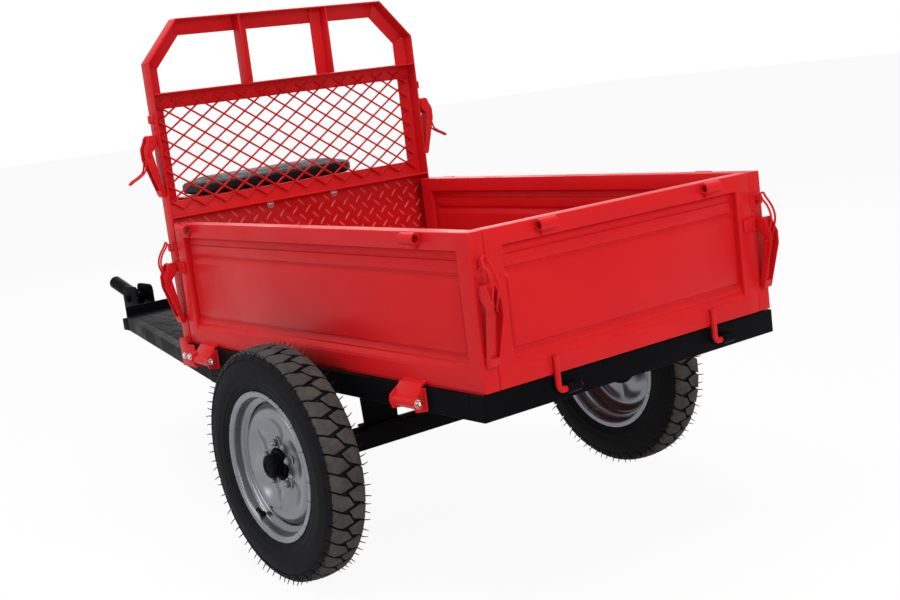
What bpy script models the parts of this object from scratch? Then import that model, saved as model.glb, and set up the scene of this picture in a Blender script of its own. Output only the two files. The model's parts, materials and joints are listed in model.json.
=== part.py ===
"""Two-wheel tractor trailer: drop-side load box, headboard, seat and drawbar.

Metres, +Z up, +Y forward towards the hitch, ground at Z = 0.
Positions below are measured from the rear face of the load box (Y = 0) and the
centre line (X = 0). The root empty then centres the whole trailer on the origin.
"""

import math

import bmesh
import bpy
from mathutils import Matrix, Vector

# Clearances
GAP = 0.0003            # between neighbours that touch
SWING_GAP = 0.0006      # between panels that slide past each other
BORE_GAP = 0.0004       # round a pin or shaft

# Load box
BOX_WIDTH = 0.805
BOX_LENGTH = 1.19
PANEL_HEIGHT = 0.303
PANEL_THICKNESS = 0.035
PANEL_RAIL = 0.035      # height of a panel's top rail
PANEL_FOOT = 0.038      # height of a panel's bottom rail
PANEL_STILE = 0.042     # width of a panel's end rails
PANEL_WEB = 0.005       # left between the pressings of its two sides
PRESS_SLOPE = 0.020     # width of the pressed bevel at the ends
FOOT_SLOPE = 0.030      # height of the pressed bevel above the bottom rail
RIDGE_HEIGHT = 0.026    # pressed ridge under the top rail
RIDGE_DROP = 0.019      # from the top rail down to the ridge
RIDGE_DEPTH = 0.004

# Chassis
RAIL_HEIGHT = 0.050
RAIL_WIDTH = 0.040
RAIL_WALL = 0.004
CHASSIS_MARGIN = 0.0075 # chassis wider than the load box, on each side
CHASSIS_INSET = 0.004   # rear cross member behind the box's rear face
CHASSIS_BOTTOM = 0.408
FLOOR_SHEET = 0.003
FLOOR_RISE = 0.0012     # the floor's middle stands this much above its edges
FLOOR_MARGIN = 0.010    # floor's edges inside the chassis

# Running gear
TYRE_DIAMETER = 0.525
TYRE_WIDTH = 0.098
TREAD_WIDTH = 0.066
TYRE_CLEARANCE = 0.044  # between a tyre and the chassis
RIM_FLANGE_RADIUS = 0.169
RIM_WIDTH = 0.083
RIM_WALL = 0.003
BEAD_RADIUS = 0.157
WELL_RADIUS = 0.141
DISC_OFFSET = 0.022     # wheel disc's raised ring outboard of the wheel's centre plane
DISC_FOOT = 0.006       # where the disc leaves the well
DISC_SEAT = 0.012       # where the disc is bolted to the hub
DISC_SHOULDER = 0.118
DISC_DISH = 0.088
DISC_BOSS = 0.068
WHEEL_SEGMENTS = 32
STUD_COUNT = 5
STUD_CIRCLE = 0.049
STUD_RADIUS = 0.005
NUT_RADIUS = 0.0095
NUT_HEIGHT = 0.009
HUB_RADIUS = 0.033
HUB_INNER = 0.046       # hub barrel inboard of the wheel centre plane
HUB_OUTER = 0.036       # hub cap outboard of the wheel centre plane
HUB_CAP_DEPTH = 0.012
HUB_FLANGE = 0.008
HUB_FLANGE_RADIUS = 0.062
AXLE_AHEAD = 0.023      # axle forward of the middle of the load box
AXLE_BEAM = 0.045
STUB_DIAMETER = 0.030
BRACKET_PLATE = 0.008
BRACKET_TOP = 0.100     # width of the axle bracket at the chassis
BRACKET_CENTRE = 0.240

# Drawbar and foot plate
BAR_HEIGHT = 0.040
BAR_WIDTH = 0.030
BAR_START_AHEAD = 0.082 # rear ends of the drawbar rails, forward of the axle
BAR_LENGTH = 0.889      # drawbar rails forward of the headboard
BAR_INSET = 0.006       # rails inside the chassis where they run straight
BAR_SPREAD = 0.166      # outer face at the front end
BAR_TAPER = 0.235       # sideways run for each unit forward
TREAD_SHEET = 0.003
TOE_WALL = 0.030
TOE_LENGTH = 0.040

# Hitch
HITCH_WIDTH = 0.062
HITCH_PLATE = 0.008
HITCH_RISE_AHEAD = 0.210 # from the rails' ends to where the cheeks rise to their full height
HITCH_LENGTH = 0.320    # from the rails' ends to the cheeks' front
HITCH_TOP_LIFT = 0.062  # cheeks' top above the chassis's underside
HITCH_BASE_DROP = 0.048 # cheeks' foot below the chassis's underside
HITCH_PIN_AHEAD = 0.280
HITCH_PIN_LIFT = 0.020
HITCH_PIN_DIAMETER = 0.016
HITCH_PIN_HEAD = 0.008
HITCH_NUT_RADIUS = 0.0136
HITCH_CORNER = 0.020
HITCH_TUBE_DIAMETER = 0.044
HITCH_TUBE_BORE = 0.030
HITCH_TUBE_LENGTH = 0.190
HITCH_TAIL = 0.024      # tube behind the pin
HITCH_TUBE_TILT = 15.0  # degrees above level at rest

# Headboard
ANGLE_LEG = 0.040
ANGLE_WALL = 0.004
HEAD_CLEARANCE = 0.001  # headboard's rearmost edges forward of the side panels
HEAD_INSET = 0.0005     # headboard narrower than the load box, on each side
HEAD_RAIL_LIFT = 0.0111 # lower rail above the side panels
MESH_HEIGHT = 0.271     # from the top of the lower rail to the top of the middle one
CHAMFER_LIFT = 0.075    # from the middle rail up to the cut corners
HEAD_LIFT = 0.177       # from the middle rail up to the top
CHAMFER_WIDTH = 0.093
UPRIGHT_EDGE = 0.134
UPRIGHT_LEG = 0.036
POST_FOOT = 0.400
FOOT_PLATE_REACH = 0.036 # foot plate reaching rearward of the post
FOOT_PLATE_RISE = 0.012  # foot plate above the chassis
FOOT_BOLT_RISE = 0.019
FOOT_BOLT_INSET = 0.022
FOOT_BOLT_SPACING = 0.040
FOOT_BOLT_RADIUS = 0.0075
FOOT_BOLT_HEAD = 0.006
MESH_ROD = 0.005
DIAMOND_WIDTH = 0.0611   # near this: a whole number of pairs and the part below fit across the mesh
DIAMOND_HEIGHT = 0.0403
PART_ACROSS = 0.56956   # part of a diamond left over across the mesh
PART_UP = 0.82382       # and up it
MESH_SHIFT = -0.0158     # sideways place of the crossings
MESH_RISE = 0.0042       # crossings above the middle of the mesh
MESH_LAP = 0.022        # mesh ends lapping over the angle iron

# Front panel and seat
FRONT_SHEET = 0.003
FRONT_DROP = 0.002      # front panel's top below the lower rail
SEAT_WIDTH = 0.480
SEAT_DEPTH = 0.210
SEAT_AHEAD = 0.059      # cushion forward of the headboard
SEAT_LIFT = 0.0325      # cushion's underside above the lower rail's
SEAT_EDGE_HEIGHT = 0.034
SEAT_CROWN = 0.013
SEAT_CORNER = 0.075
CROWN_REACH = 0.95      # share of the corners' radius over which the crown rises
PAN_WIDTH = 0.500
PAN_REACH = 0.232       # pan forward of the headboard
PAN_SHEET = 0.003
PAN_LIP = 0.018
PAN_LEG = 0.110
SEAT_BOLT_X = 0.100
SEAT_BOLT_DROP = 0.0095 # below the lower rail
SEAT_BOLT_RADIUS = 0.004
SEAT_NUT_RADIUS = 0.008
SEAT_NUT_HEIGHT = 0.008
SEAT_BOLT_HEAD = 0.005

# Hinges
HINGE_OUT = 0.0275      # side hinge axis outside the load box
HINGE_DROP = 0.028      # hinge axes below the top of the chassis
HINGE_REAR_INSET = 0.225
HINGE_FRONT_INSET = 0.105
HINGE_LENGTH = 0.084
HINGE_CHEEK = 0.004
HINGE_BOLT = 0.010
HINGE_BOLT_HEAD = 0.006
HINGE_NUT_RADIUS = 0.008
HINGE_BARREL = 0.010     # radius of the leaf's barrel
LEAF_SHEET = 0.006
LEAF_LAP = 0.0015        # leaf let into the panel
LEAF_LIFT = 0.0008       # leaf above the chassis and the panel's foot
LEAF_BEND = 0.017        # from the bolt's axis in to where the leaf turns down
LEAF_NECK = 0.0065       # leaf's lower edge above the bolt's axis
CHEEK_REACH = 0.012      # hinge cheeks outside the bolt's axis
BRACKET_INSET = 0.002    # hinge brackets above the chassis's underside
TAIL_ROD = 0.013
TAIL_TUBE = 0.021
TAIL_TUBE_LENGTH = 0.035
TAIL_ROD_PLACES = (-0.232, 0.212)

# Latches
LEVER_LENGTH = 0.155
LEVER_WIDTH = 0.025
LEVER_TIP = 0.008
LEVER_WALL = 0.0025
LATCH_PIN = 0.006
BAIL_WIRE = 0.005
BAIL_HALF_WIDTH = 0.0065
BAIL_REACH = 0.043      # how far a closed bail bows out from the face

# Stake sockets on the top rails
SOCKET_DIAMETER = 0.024
SOCKET_BORE = 0.014
SOCKET_LENGTH = 0.045
SOCKET_DROP = 0.012     # socket centre below the panel's top
SOCKET_MOUTH = 0.0035   # depth of a socket's mouth
SOCKET_REAR_INSET = 0.170
SOCKET_FRONT_INSET = 0.070
TAIL_SOCKET_PLACES = (-0.2195, 0.237)

# Latches, measured outwards from the face behind them and upwards from the lever's top
LATCH_PIN_OUT = 0.020
LATCH_PIN_UP = -0.010
BAIL_PIN_OUT = 0.030
BAIL_PIN_UP = -0.048
LATCH_STRAP = 0.003
LUG_HEIGHT = 0.024
STRAP_HOLD = 0.030       # length of a strap on its panel
KEEPER_WIDTH = 0.024
KEEPER_LIFT = 0.015      # keeper plate above the lever's top
KEEPER_HEIGHT = 0.039
HOOK_LIFT = 0.030
HOOK_HEIGHT = 0.020
HOOK_REACH = 0.013
HOOK_SHEET = 0.004
LEVER_TIP_RADIUS = 0.0064
BAIL_SLOPE = (0.038, -0.020)      # closed bail leaving the lever: out from the face, and up
BAIL_BULGE_UP = 0.004
BAIL_SHOULDER = (0.036, 0.026)
BAIL_NECK = (0.021, 0.046)
BAIL_LOOP = (0.0185, 0.053)
BAIL_LOOP_WIDTH = 0.0045
FREE_SLOPE = (0.040, -0.064)      # the same for a bail that hangs free
FREE_BULGE = (0.047, -0.084)
FREE_SHOULDER = (0.060, -0.094)
FREE_NECK = (0.080, -0.104)
FREE_LOOP = (0.088, -0.109)
LEVER_HEAD_RADIUS = 0.013
WEB_DROP = 0.008        # web starts this much below the head
LEVER_REACH = 0.043     # front edge of the channel from the face
FRONT_ABOVE = 0.0192    # that edge's upper end above the bail's pin
FRONT_BELOW = 0.0072    # and its lower end below it
LATCH_BEHIND = 0.019    # side latches rearward of the headboard's upright legs
LOW_LATCH_DROP = 0.0999 # lever's top below the panels' tops
HIGH_LATCH_DROP = 0.102 # lever's top below the middle rail
BURY = 0.001            # how deep a welded-on piece is sunk in what carries it

# Sizes that follow from the ones above
HALF_WIDTH = BOX_WIDTH / 2
CHASSIS_WIDTH = BOX_WIDTH + 2 * CHASSIS_MARGIN
RAIL_TOP = CHASSIS_BOTTOM + RAIL_HEIGHT
FLOOR_BOTTOM = RAIL_TOP + GAP
PANEL_BOTTOM = FLOOR_BOTTOM + FLOOR_SHEET + SWING_GAP
PANEL_TOP = PANEL_BOTTOM + PANEL_HEIGHT
PRESS_DEPTH = (PANEL_THICKNESS - PANEL_WEB) / 2
TAIL_WIDTH = BOX_WIDTH - 2 * (PANEL_THICKNESS + SWING_GAP)
AXLE_PLACE = BOX_LENGTH / 2 + AXLE_AHEAD
AXLE_HEIGHT = TYRE_DIAMETER / 2
TRACK = CHASSIS_WIDTH + 2 * TYRE_CLEARANCE + TYRE_WIDTH
HUB_PLACES = {"left": -TRACK / 2, "right": TRACK / 2}
SIDES = {"left": -1, "right": 1}
SIDE_TURNS = {"left": -90.0, "right": 90.0}
HEAD_REAR = BOX_LENGTH + HEAD_CLEARANCE + ANGLE_LEG  # rear face of the posts' front legs
HEAD_HALF_WIDTH = HALF_WIDTH - HEAD_INSET
LOW_RAIL_BOTTOM = PANEL_TOP + HEAD_RAIL_LIFT
LOW_RAIL_TOP = LOW_RAIL_BOTTOM + ANGLE_LEG
MID_RAIL_TOP = LOW_RAIL_TOP + MESH_HEIGHT
HEAD_TOP = MID_RAIL_TOP + HEAD_LIFT
CHASSIS_FRONT = HEAD_REAR + ANGLE_WALL
RAIL_FRONT = HEAD_REAR - GAP  # headboard rails lie against the posts' rear faces
BAR_START = AXLE_PLACE + BAR_START_AHEAD
BAR_END = HEAD_REAR + BAR_LENGTH
BAR_OUTER = CHASSIS_WIDTH / 2 - BAR_INSET
HITCH_BASE = CHASSIS_BOTTOM - HITCH_BASE_DROP
HITCH_TOP = CHASSIS_BOTTOM + HITCH_TOP_LIFT
HITCH_FRONT = BAR_END + HITCH_LENGTH
HITCH_PIN_PLACE = BAR_END + HITCH_PIN_AHEAD
SEAT_BOTTOM = LOW_RAIL_BOTTOM + SEAT_LIFT
SEAT_BOLT_Z = LOW_RAIL_BOTTOM - SEAT_BOLT_DROP
SIDE_HINGE_X = HALF_WIDTH + HINGE_OUT
HINGE_Z = RAIL_TOP - HINGE_DROP
SIDE_HINGE_PLACES = (HINGE_REAR_INSET, BOX_LENGTH - HINGE_FRONT_INSET)
SIDE_SOCKET_PLACES = (SOCKET_REAR_INSET, BOX_LENGTH - SOCKET_FRONT_INSET)
TAIL_HINGE_Y = -TAIL_ROD / 2 - GAP
REAR_LATCH_X = HALF_WIDTH - PANEL_THICKNESS / 2
SIDE_LATCH_Y = HEAD_REAR - LATCH_BEHIND
LOW_LATCH_TOP = PANEL_TOP - LOW_LATCH_DROP
HIGH_LATCH_TOP = MID_RAIL_TOP - HIGH_LATCH_DROP


def clear_scene():
    for obj in list(bpy.data.objects):
        bpy.data.objects.remove(obj, do_unlink=True)


def paint(name, colour, roughness, metallic):
    material = bpy.data.materials.new(name)
    material.use_nodes = True
    shader = material.node_tree.nodes["Principled BSDF"]
    shader.inputs["Base Color"].default_value = (*colour, 1.0)
    shader.inputs["Roughness"].default_value = roughness
    shader.inputs["Metallic"].default_value = metallic
    material.diffuse_color = (*colour, 1.0)
    return material


def make_finishes():
    return {
        "red": paint("red_paint", (0.68, 0.022, 0.026), 0.32, 0.0),
        "black": paint("black_paint", (0.014, 0.014, 0.016), 0.40, 0.0),
        "silver": paint("silver_paint", (0.52, 0.53, 0.55), 0.35, 0.6),
        "rubber": paint("tyre_rubber", (0.020, 0.020, 0.021), 0.75, 0.0),
        "zinc": paint("zinc", (0.62, 0.62, 0.60), 0.30, 1.0),
        "vinyl": paint("seat_vinyl", (0.022, 0.022, 0.024), 0.55, 0.0),
    }


def along(axis, value, first, second):
    """A point with one coordinate on the given axis and the other two in X, Y, Z order."""
    point = [first, second]
    point.insert("XYZ".index(axis), value)
    return Vector(point)


def add_block(bm, low, high):
    size = Vector(high) - Vector(low)
    centre = (Vector(high) + Vector(low)) / 2
    shape = Matrix.Translation(centre) @ Matrix.Diagonal((*size, 1.0))
    bmesh.ops.create_cube(bm, size=1.0, matrix=shape)


def add_prism(bm, outline, axis, start, end):
    """A flat outline in the two other axes, extruded along one axis."""
    face = bm.faces.new([bm.verts.new(along(axis, start, *point)) for point in outline])
    made = bmesh.ops.extrude_face_region(bm, geom=[face])
    moved = [item for item in made["geom"] if isinstance(item, bmesh.types.BMVert)]
    bmesh.ops.translate(bm, verts=moved, vec=along(axis, end - start, 0.0, 0.0))


def add_cylinder(bm, radius, axis, centre, start, end, segments=12):
    """A round bar along one axis; centre gives the two other coordinates."""
    turns = [2 * math.pi * (step + 0.25) / segments for step in range(segments)]
    outline = [(centre[0] + radius * math.cos(turn), centre[1] + radius * math.sin(turn)) for turn in turns]
    add_prism(bm, outline, axis, start, end)


def add_turned(bm, profile, segments, closed=True):
    """A profile of (place along X, radius) turned about the X axis; an open one ends on the axis."""
    corners = [bm.verts.new((place, 0.0, radius)) for place, radius in profile]
    first = 0 if closed else 1
    edges = [bm.edges.new((corners[i - 1], corners[i])) for i in range(first, len(corners))]
    bmesh.ops.spin(bm, geom=corners + edges, cent=(0, 0, 0), axis=(1, 0, 0), dvec=(0, 0, 0),
                   angle=2 * math.pi, steps=segments, use_merge=True, use_duplicate=False)


def arc(centre, radius, start, end, steps):
    """Points on an arc, angles in degrees."""
    turns = [math.radians(start + (end - start) * step / steps) for step in range(steps + 1)]
    return [(centre[0] + radius * math.cos(t), centre[1] + radius * math.sin(t)) for t in turns]


def angle_outline(corner, leg_a, leg_b, wall):
    """An L section: its outer corner and the signed reach of its legs on the two axes."""
    a, b = corner
    wall_a = math.copysign(wall, leg_a)
    wall_b = math.copysign(wall, leg_b)
    return [(a, b), (a + leg_a, b), (a + leg_a, b + wall_b), (a + wall_a, b + wall_b),
            (a + wall_a, b + leg_b), (a, b + leg_b)]


def channel_outline(web, mouth, low, high, wall):
    """A C section whose web stands at one place and whose mouth opens towards another."""
    inside = web + math.copysign(wall, mouth - web)
    return [(web, low), (mouth, low), (mouth, low + wall), (inside, low + wall),
            (inside, high - wall), (mouth, high - wall), (mouth, high), (web, high)]


class Trailer:
    """Holds the root empty, the empties on the joint axes and the finishes."""

    def __init__(self, shift):
        self.finishes = make_finishes()
        self.collection = bpy.context.scene.collection
        self.places = {}
        self.empties = {}
        root = bpy.data.objects.new("trailer_origin", None)
        root.location = (0.0, shift, 0.0)
        self.collection.objects.link(root)
        self.places["root"] = Vector((0, 0, 0))
        self.empties["root"] = root

    def add_body(self, name, place, parent="root"):
        empty = bpy.data.objects.new(name + "_axis", None)
        empty.location = Vector(place) - self.places[parent]
        empty.parent = self.empties[parent]
        self.collection.objects.link(empty)
        self.places[name] = Vector(place)
        self.empties[name] = empty

    def link(self, obj, body, location, turn):
        obj.parent = self.empties[body]
        obj.location = Vector(location) - self.places[body]
        obj.rotation_euler = (0.0, 0.0, math.radians(turn))
        self.collection.objects.link(obj)
        return obj

    def place(self, name, bm, finish, body="root", location=(0, 0, 0), turn=0.0, round_angle=None):
        bmesh.ops.remove_doubles(bm, verts=bm.verts, dist=1e-6)
        bmesh.ops.recalc_face_normals(bm, faces=bm.faces)
        if bm.calc_volume(signed=True) < 0:
            bmesh.ops.reverse_faces(bm, faces=bm.faces)
        mesh = bpy.data.meshes.new(name)
        bm.to_mesh(mesh)
        bm.free()
        mesh.materials.append(self.finishes[finish])
        if round_angle is not None:
            mesh.shade_smooth()
            mesh.set_sharp_from_angle(angle=math.radians(round_angle))
        return self.link(bpy.data.objects.new(name, mesh), body, location, turn)

    def combine(self, obj, bm, operation):
        """Join or cut the object with the shapes in the mesh, given in the object's own axes."""
        bmesh.ops.remove_doubles(bm, verts=bm.verts, dist=1e-6)
        bmesh.ops.recalc_face_normals(bm, faces=bm.faces)
        mesh = bpy.data.meshes.new(obj.name + "_tool")
        bm.to_mesh(mesh)
        bm.free()
        tool = bpy.data.objects.new(obj.name + "_tool", mesh)
        tool.parent = obj
        tool.hide_render = True
        tool.display_type = "WIRE"
        self.collection.objects.link(tool)
        step = obj.modifiers.new(operation.lower(), "BOOLEAN")
        step.operation = operation
        step.solver = "EXACT"
        step.use_self = operation == "UNION"
        step.object = tool
        return obj


def make_chassis(trailer):
    half = CHASSIS_WIDTH / 2
    rear = CHASSIS_INSET
    for side, sign in SIDES.items():
        bm = bmesh.new()
        outline = channel_outline(sign * half, sign * (half - RAIL_WIDTH), CHASSIS_BOTTOM, RAIL_TOP,
                                  RAIL_WALL)
        add_prism(bm, outline, "Y", rear + RAIL_WIDTH + GAP, CHASSIS_FRONT - RAIL_WIDTH - GAP)
        trailer.place("chassis_rail_" + side, bm, "black")
    make_cross_member(trailer, "rear_cross_member", rear, rear + RAIL_WIDTH, half)
    make_cross_member(trailer, "front_cross_member", CHASSIS_FRONT, CHASSIS_FRONT - RAIL_WIDTH, half)
    make_cross_member(trailer, "axle_cross_member", AXLE_PLACE - RAIL_WIDTH / 2,
                      AXLE_PLACE + RAIL_WIDTH / 2, half - RAIL_WIDTH - GAP)


def make_cross_member(trailer, name, web, mouth, half):
    bm = bmesh.new()
    outline = channel_outline(web, mouth, CHASSIS_BOTTOM, RAIL_TOP, RAIL_WALL)
    add_prism(bm, outline, "X", -half, half)
    trailer.place(name, bm, "black")


def make_deck_floor(trailer):
    """A sheet on the chassis; its middle stands higher than its edges, which lie under the panels."""
    half = CHASSIS_WIDTH / 2 - FLOOR_MARGIN
    front = HEAD_REAR - ANGLE_LEG - GAP
    inside = HALF_WIDTH - PANEL_THICKNESS - SWING_GAP
    edge = FLOOR_BOTTOM + FLOOR_SHEET
    bm = bmesh.new()
    add_block(bm, (-half, CHASSIS_INSET + FLOOR_MARGIN, FLOOR_BOTTOM), (half, front, edge))
    floor = trailer.place("deck_floor", bm, "red")
    bm = bmesh.new()
    add_block(bm, (-inside, PANEL_THICKNESS + SWING_GAP, edge - BURY),
              (inside, front - GAP, edge + FLOOR_RISE))
    trailer.combine(floor, bm, "UNION")


def make_axle(trailer):
    half = TRACK / 2 - HUB_INNER - GAP
    stub_end = TRACK / 2 + HUB_OUTER - HUB_CAP_DEPTH
    stub_root = 0.010
    bm = bmesh.new()
    add_block(bm, (-half, -AXLE_BEAM / 2, -AXLE_BEAM / 2), (half, AXLE_BEAM / 2, AXLE_BEAM / 2))
    beam = trailer.place("axle_beam", bm, "black", location=(0, AXLE_PLACE, AXLE_HEIGHT))
    bm = bmesh.new()
    for sign in SIDES.values():
        add_cylinder(bm, STUB_DIAMETER / 2, "X", (0, 0), sign * (half - stub_root), sign * stub_end, 24)
    trailer.combine(beam, bm, "UNION")
    for side, sign in SIDES.items():
        make_axle_bracket(trailer, side, sign)


def make_axle_bracket(trailer, side, sign):
    """A plate that tapers from the chassis down to the beam, with a flange along its top."""
    top = CHASSIS_BOTTOM - GAP
    bottom = AXLE_HEIGHT + AXLE_BEAM / 2 + GAP
    half_top = BRACKET_TOP / 2
    half_foot = AXLE_BEAM
    flange = 0.006
    centre = sign * BRACKET_CENTRE
    bm = bmesh.new()
    add_prism(bm, [(centre - half_foot, bottom), (centre + half_foot, bottom),
                   (centre + half_top, top), (centre - half_top, top)],
              "Y", -BRACKET_PLATE / 2, BRACKET_PLATE / 2)
    bracket = trailer.place("axle_bracket_" + side, bm, "black", location=(0, AXLE_PLACE, 0))
    bm = bmesh.new()
    reach = RAIL_WIDTH / 2
    add_block(bm, (centre - half_top - flange, -reach, top - flange), (centre + half_top + flange, reach, top))
    foot = AXLE_BEAM / 2
    add_block(bm, (centre - half_foot - flange, -foot, bottom),
              (centre + half_foot + flange, foot, bottom + flange))
    trailer.combine(bracket, bm, "UNION")


def tyre_profile(sign):
    """Tread, sidewalls, beads on the rim's seats and the hollow inside."""
    half = TYRE_WIDTH / 2
    tread = TREAD_WIDTH / 2
    outer = TYRE_DIAMETER / 2
    bead = BEAD_RADIUS + GAP
    seat = RIM_WIDTH / 2 - RIM_WALL - GAP
    wall = 0.010
    belly = (outer + bead) / 2
    flange_clear = RIM_FLANGE_RADIUS + 0.003
    outside = [(seat, bead), (seat, flange_clear), (half, belly), (half - 0.004, outer - 0.026),
               (tread, outer - 0.004)]
    inside = [(tread - wall, outer - 2 * wall), (half - wall, belly), (seat - wall, bead)]
    far_outside = [(-place, radius) for place, radius in reversed(outside)]
    far_inside = [(-place, radius) for place, radius in reversed(inside)]
    loop = outside + [(0, outer)] + far_outside + far_inside + inside
    return [(sign * place, radius) for place, radius in loop]


def rim_profile(sign):
    """A well-base rim with its disc standing on the well."""
    half = RIM_WIDTH / 2
    wall = RIM_WALL
    seat = BEAD_RADIUS
    well = WELL_RADIUS
    well_half = 0.013
    slope = 0.004
    disc = DISC_OFFSET
    hole = HUB_RADIUS + 0.002
    tyre_side = [(-half, RIM_FLANGE_RADIUS), (-half + wall, RIM_FLANGE_RADIUS), (-half + wall, seat),
                 (-well_half - slope, seat), (-well_half, well), (well_half, well),
                 (well_half + slope, seat), (half - wall, seat), (half - wall, RIM_FLANGE_RADIUS),
                 (half, RIM_FLANGE_RADIUS)]
    under = [(half, seat - wall), (well_half + slope + wall, seat - wall), (well_half + wall, well - wall)]
    outer_face = [(DISC_FOOT + wall, well - wall), (disc, DISC_SHOULDER), (disc, DISC_DISH),
                  (DISC_SEAT, DISC_BOSS), (DISC_SEAT, hole)]
    inner_face = [(place - wall, radius) for place, radius in reversed(outer_face)]
    back = [(-place, radius) for place, radius in reversed(under)]
    return [(sign * place, radius) for place, radius in tyre_side + under + outer_face + inner_face + back]


def hub_profile(sign):
    """A barrel with a blind bore for the stub axle, a bolting flange and a closed cap."""
    flange_end = DISC_SEAT - RIM_WALL - GAP
    flange_start = flange_end - HUB_FLANGE
    bore = STUB_DIAMETER / 2 + BORE_GAP
    bore_end = HUB_OUTER - HUB_CAP_DEPTH + BORE_GAP
    barrel = 0.030
    cap_edge = 0.007
    chain = [(bore_end, 0), (bore_end, bore), (-HUB_INNER, bore), (-HUB_INNER, barrel),
             (flange_start, barrel), (flange_start, HUB_FLANGE_RADIUS), (flange_end, HUB_FLANGE_RADIUS),
             (flange_end, HUB_RADIUS), (HUB_OUTER - cap_edge, HUB_RADIUS),
             (HUB_OUTER, HUB_RADIUS - cap_edge), (HUB_OUTER, 0)]
    return [(sign * place, radius) for place, radius in chain]


def stud_centres():
    turns = [2 * math.pi * step / STUD_COUNT for step in range(STUD_COUNT)]
    return [(STUD_CIRCLE * math.sin(turn), STUD_CIRCLE * math.cos(turn)) for turn in turns]


def make_wheel(trailer, side, sign):
    centre = (HUB_PLACES[side], AXLE_PLACE, AXLE_HEIGHT)
    body = "wheel_" + side
    trailer.add_body(body, centre)
    bm = bmesh.new()
    add_turned(bm, tyre_profile(sign), WHEEL_SEGMENTS)
    trailer.place("tyre_" + side, bm, "rubber", body, centre, round_angle=50)

    bm = bmesh.new()
    add_turned(bm, rim_profile(sign), WHEEL_SEGMENTS)
    rim = trailer.place("rim_" + side, bm, "silver", body, centre, round_angle=40)
    bm = bmesh.new()
    for stud in stud_centres():
        add_cylinder(bm, STUD_RADIUS + BORE_GAP, "X", stud, 0.0, sign * RIM_WIDTH, 8)
    trailer.combine(rim, bm, "DIFFERENCE")

    bm = bmesh.new()
    add_turned(bm, hub_profile(sign), 24, closed=False)
    hub = trailer.place("hub_" + side, bm, "black", body, centre, round_angle=40)
    bm = bmesh.new()
    nut_start = DISC_SEAT + GAP
    for stud in stud_centres():
        add_cylinder(bm, STUD_RADIUS, "X", stud, sign * (DISC_SEAT - RIM_WALL - HUB_FLANGE / 2),
                     sign * (nut_start + NUT_HEIGHT / 2), 8)
        add_cylinder(bm, NUT_RADIUS, "X", stud, sign * nut_start, sign * (nut_start + NUT_HEIGHT), 6)
    trailer.combine(hub, bm, "UNION")


def bar_edge(place):
    """Outer face of the converging drawbar rails at a place along Y."""
    return min(BAR_OUTER, BAR_SPREAD + BAR_TAPER * (BAR_END - place))


def bar_outline(sign, outer_inset, inner_inset):
    bend = BAR_END - (BAR_OUTER - BAR_SPREAD) / BAR_TAPER
    places = (BAR_START, bend, BAR_END)
    outer = [(sign * (bar_edge(y) - outer_inset), y) for y in places]
    inner = [(sign * (bar_edge(y) - inner_inset), y) for y in reversed(places)]
    return outer + inner


def make_drawbar(trailer):
    top = CHASSIS_BOTTOM - GAP
    for side, sign in SIDES.items():
        bm = bmesh.new()
        add_prism(bm, bar_outline(sign, 0.0, BAR_WIDTH), "Z", top - BAR_HEIGHT, top)
        rail = trailer.place("drawbar_rail_" + side, bm, "black")
        bm = bmesh.new()
        slack = 0.010
        pocket = bar_outline(sign, RAIL_WALL, BAR_WIDTH + slack)
        ends = [(x, y - slack if y == BAR_START else y + slack if y == BAR_END else y) for x, y in pocket]
        add_prism(bm, ends, "Z", top - BAR_HEIGHT + RAIL_WALL, top - RAIL_WALL)
        trailer.combine(rail, bm, "DIFFERENCE")
    bm = bmesh.new()
    add_block(bm, (-BAR_SPREAD, BAR_END + GAP, top - BAR_HEIGHT),
              (BAR_SPREAD, BAR_END + TOE_LENGTH, top - TREAD_SHEET - GAP))
    trailer.place("drawbar_cross_bar", bm, "black")
    make_foot_plate(trailer, top)


def make_foot_plate(trailer, top):
    """Tread plate flush between the rails, over the cross bar, with its front edge turned up."""
    rear = CHASSIS_FRONT + GAP
    front = BAR_END + TOE_LENGTH
    half_rear = bar_edge(rear) - BAR_WIDTH - GAP
    half_front = bar_edge(BAR_END) - BAR_WIDTH - GAP
    half_toe = BAR_SPREAD - 0.016
    toe = BAR_END + GAP
    bm = bmesh.new()
    add_prism(bm, [(-half_rear, rear), (half_rear, rear), (half_front, toe), (half_toe, toe),
                   (half_toe, front), (-half_toe, front), (-half_toe, toe), (-half_front, toe)],
              "Z", top - TREAD_SHEET, top)
    plate = trailer.place("foot_plate", bm, "black")
    bm = bmesh.new()
    add_block(bm, (-half_toe, front - TREAD_SHEET, top - TREAD_SHEET), (half_toe, front, top + TOE_WALL))
    trailer.combine(plate, bm, "UNION")


def cheek_outline():
    """Side view of a hitch cheek: low at the drawbar, rounded where it holds the pin."""
    corner = HITCH_CORNER
    rear = BAR_END + TOE_LENGTH + GAP + BURY
    rise = BAR_END + HITCH_RISE_AHEAD
    shoulder = HITCH_BASE + BAR_HEIGHT
    return ([(rear, HITCH_BASE), (HITCH_FRONT, HITCH_BASE)]
            + arc((HITCH_FRONT - corner, HITCH_TOP - corner), corner, 0, 90, 4)
            + arc((rise + corner, HITCH_TOP - corner), corner, 90, 180, 4)
            + [(rise, shoulder), (rear, shoulder)])


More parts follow.
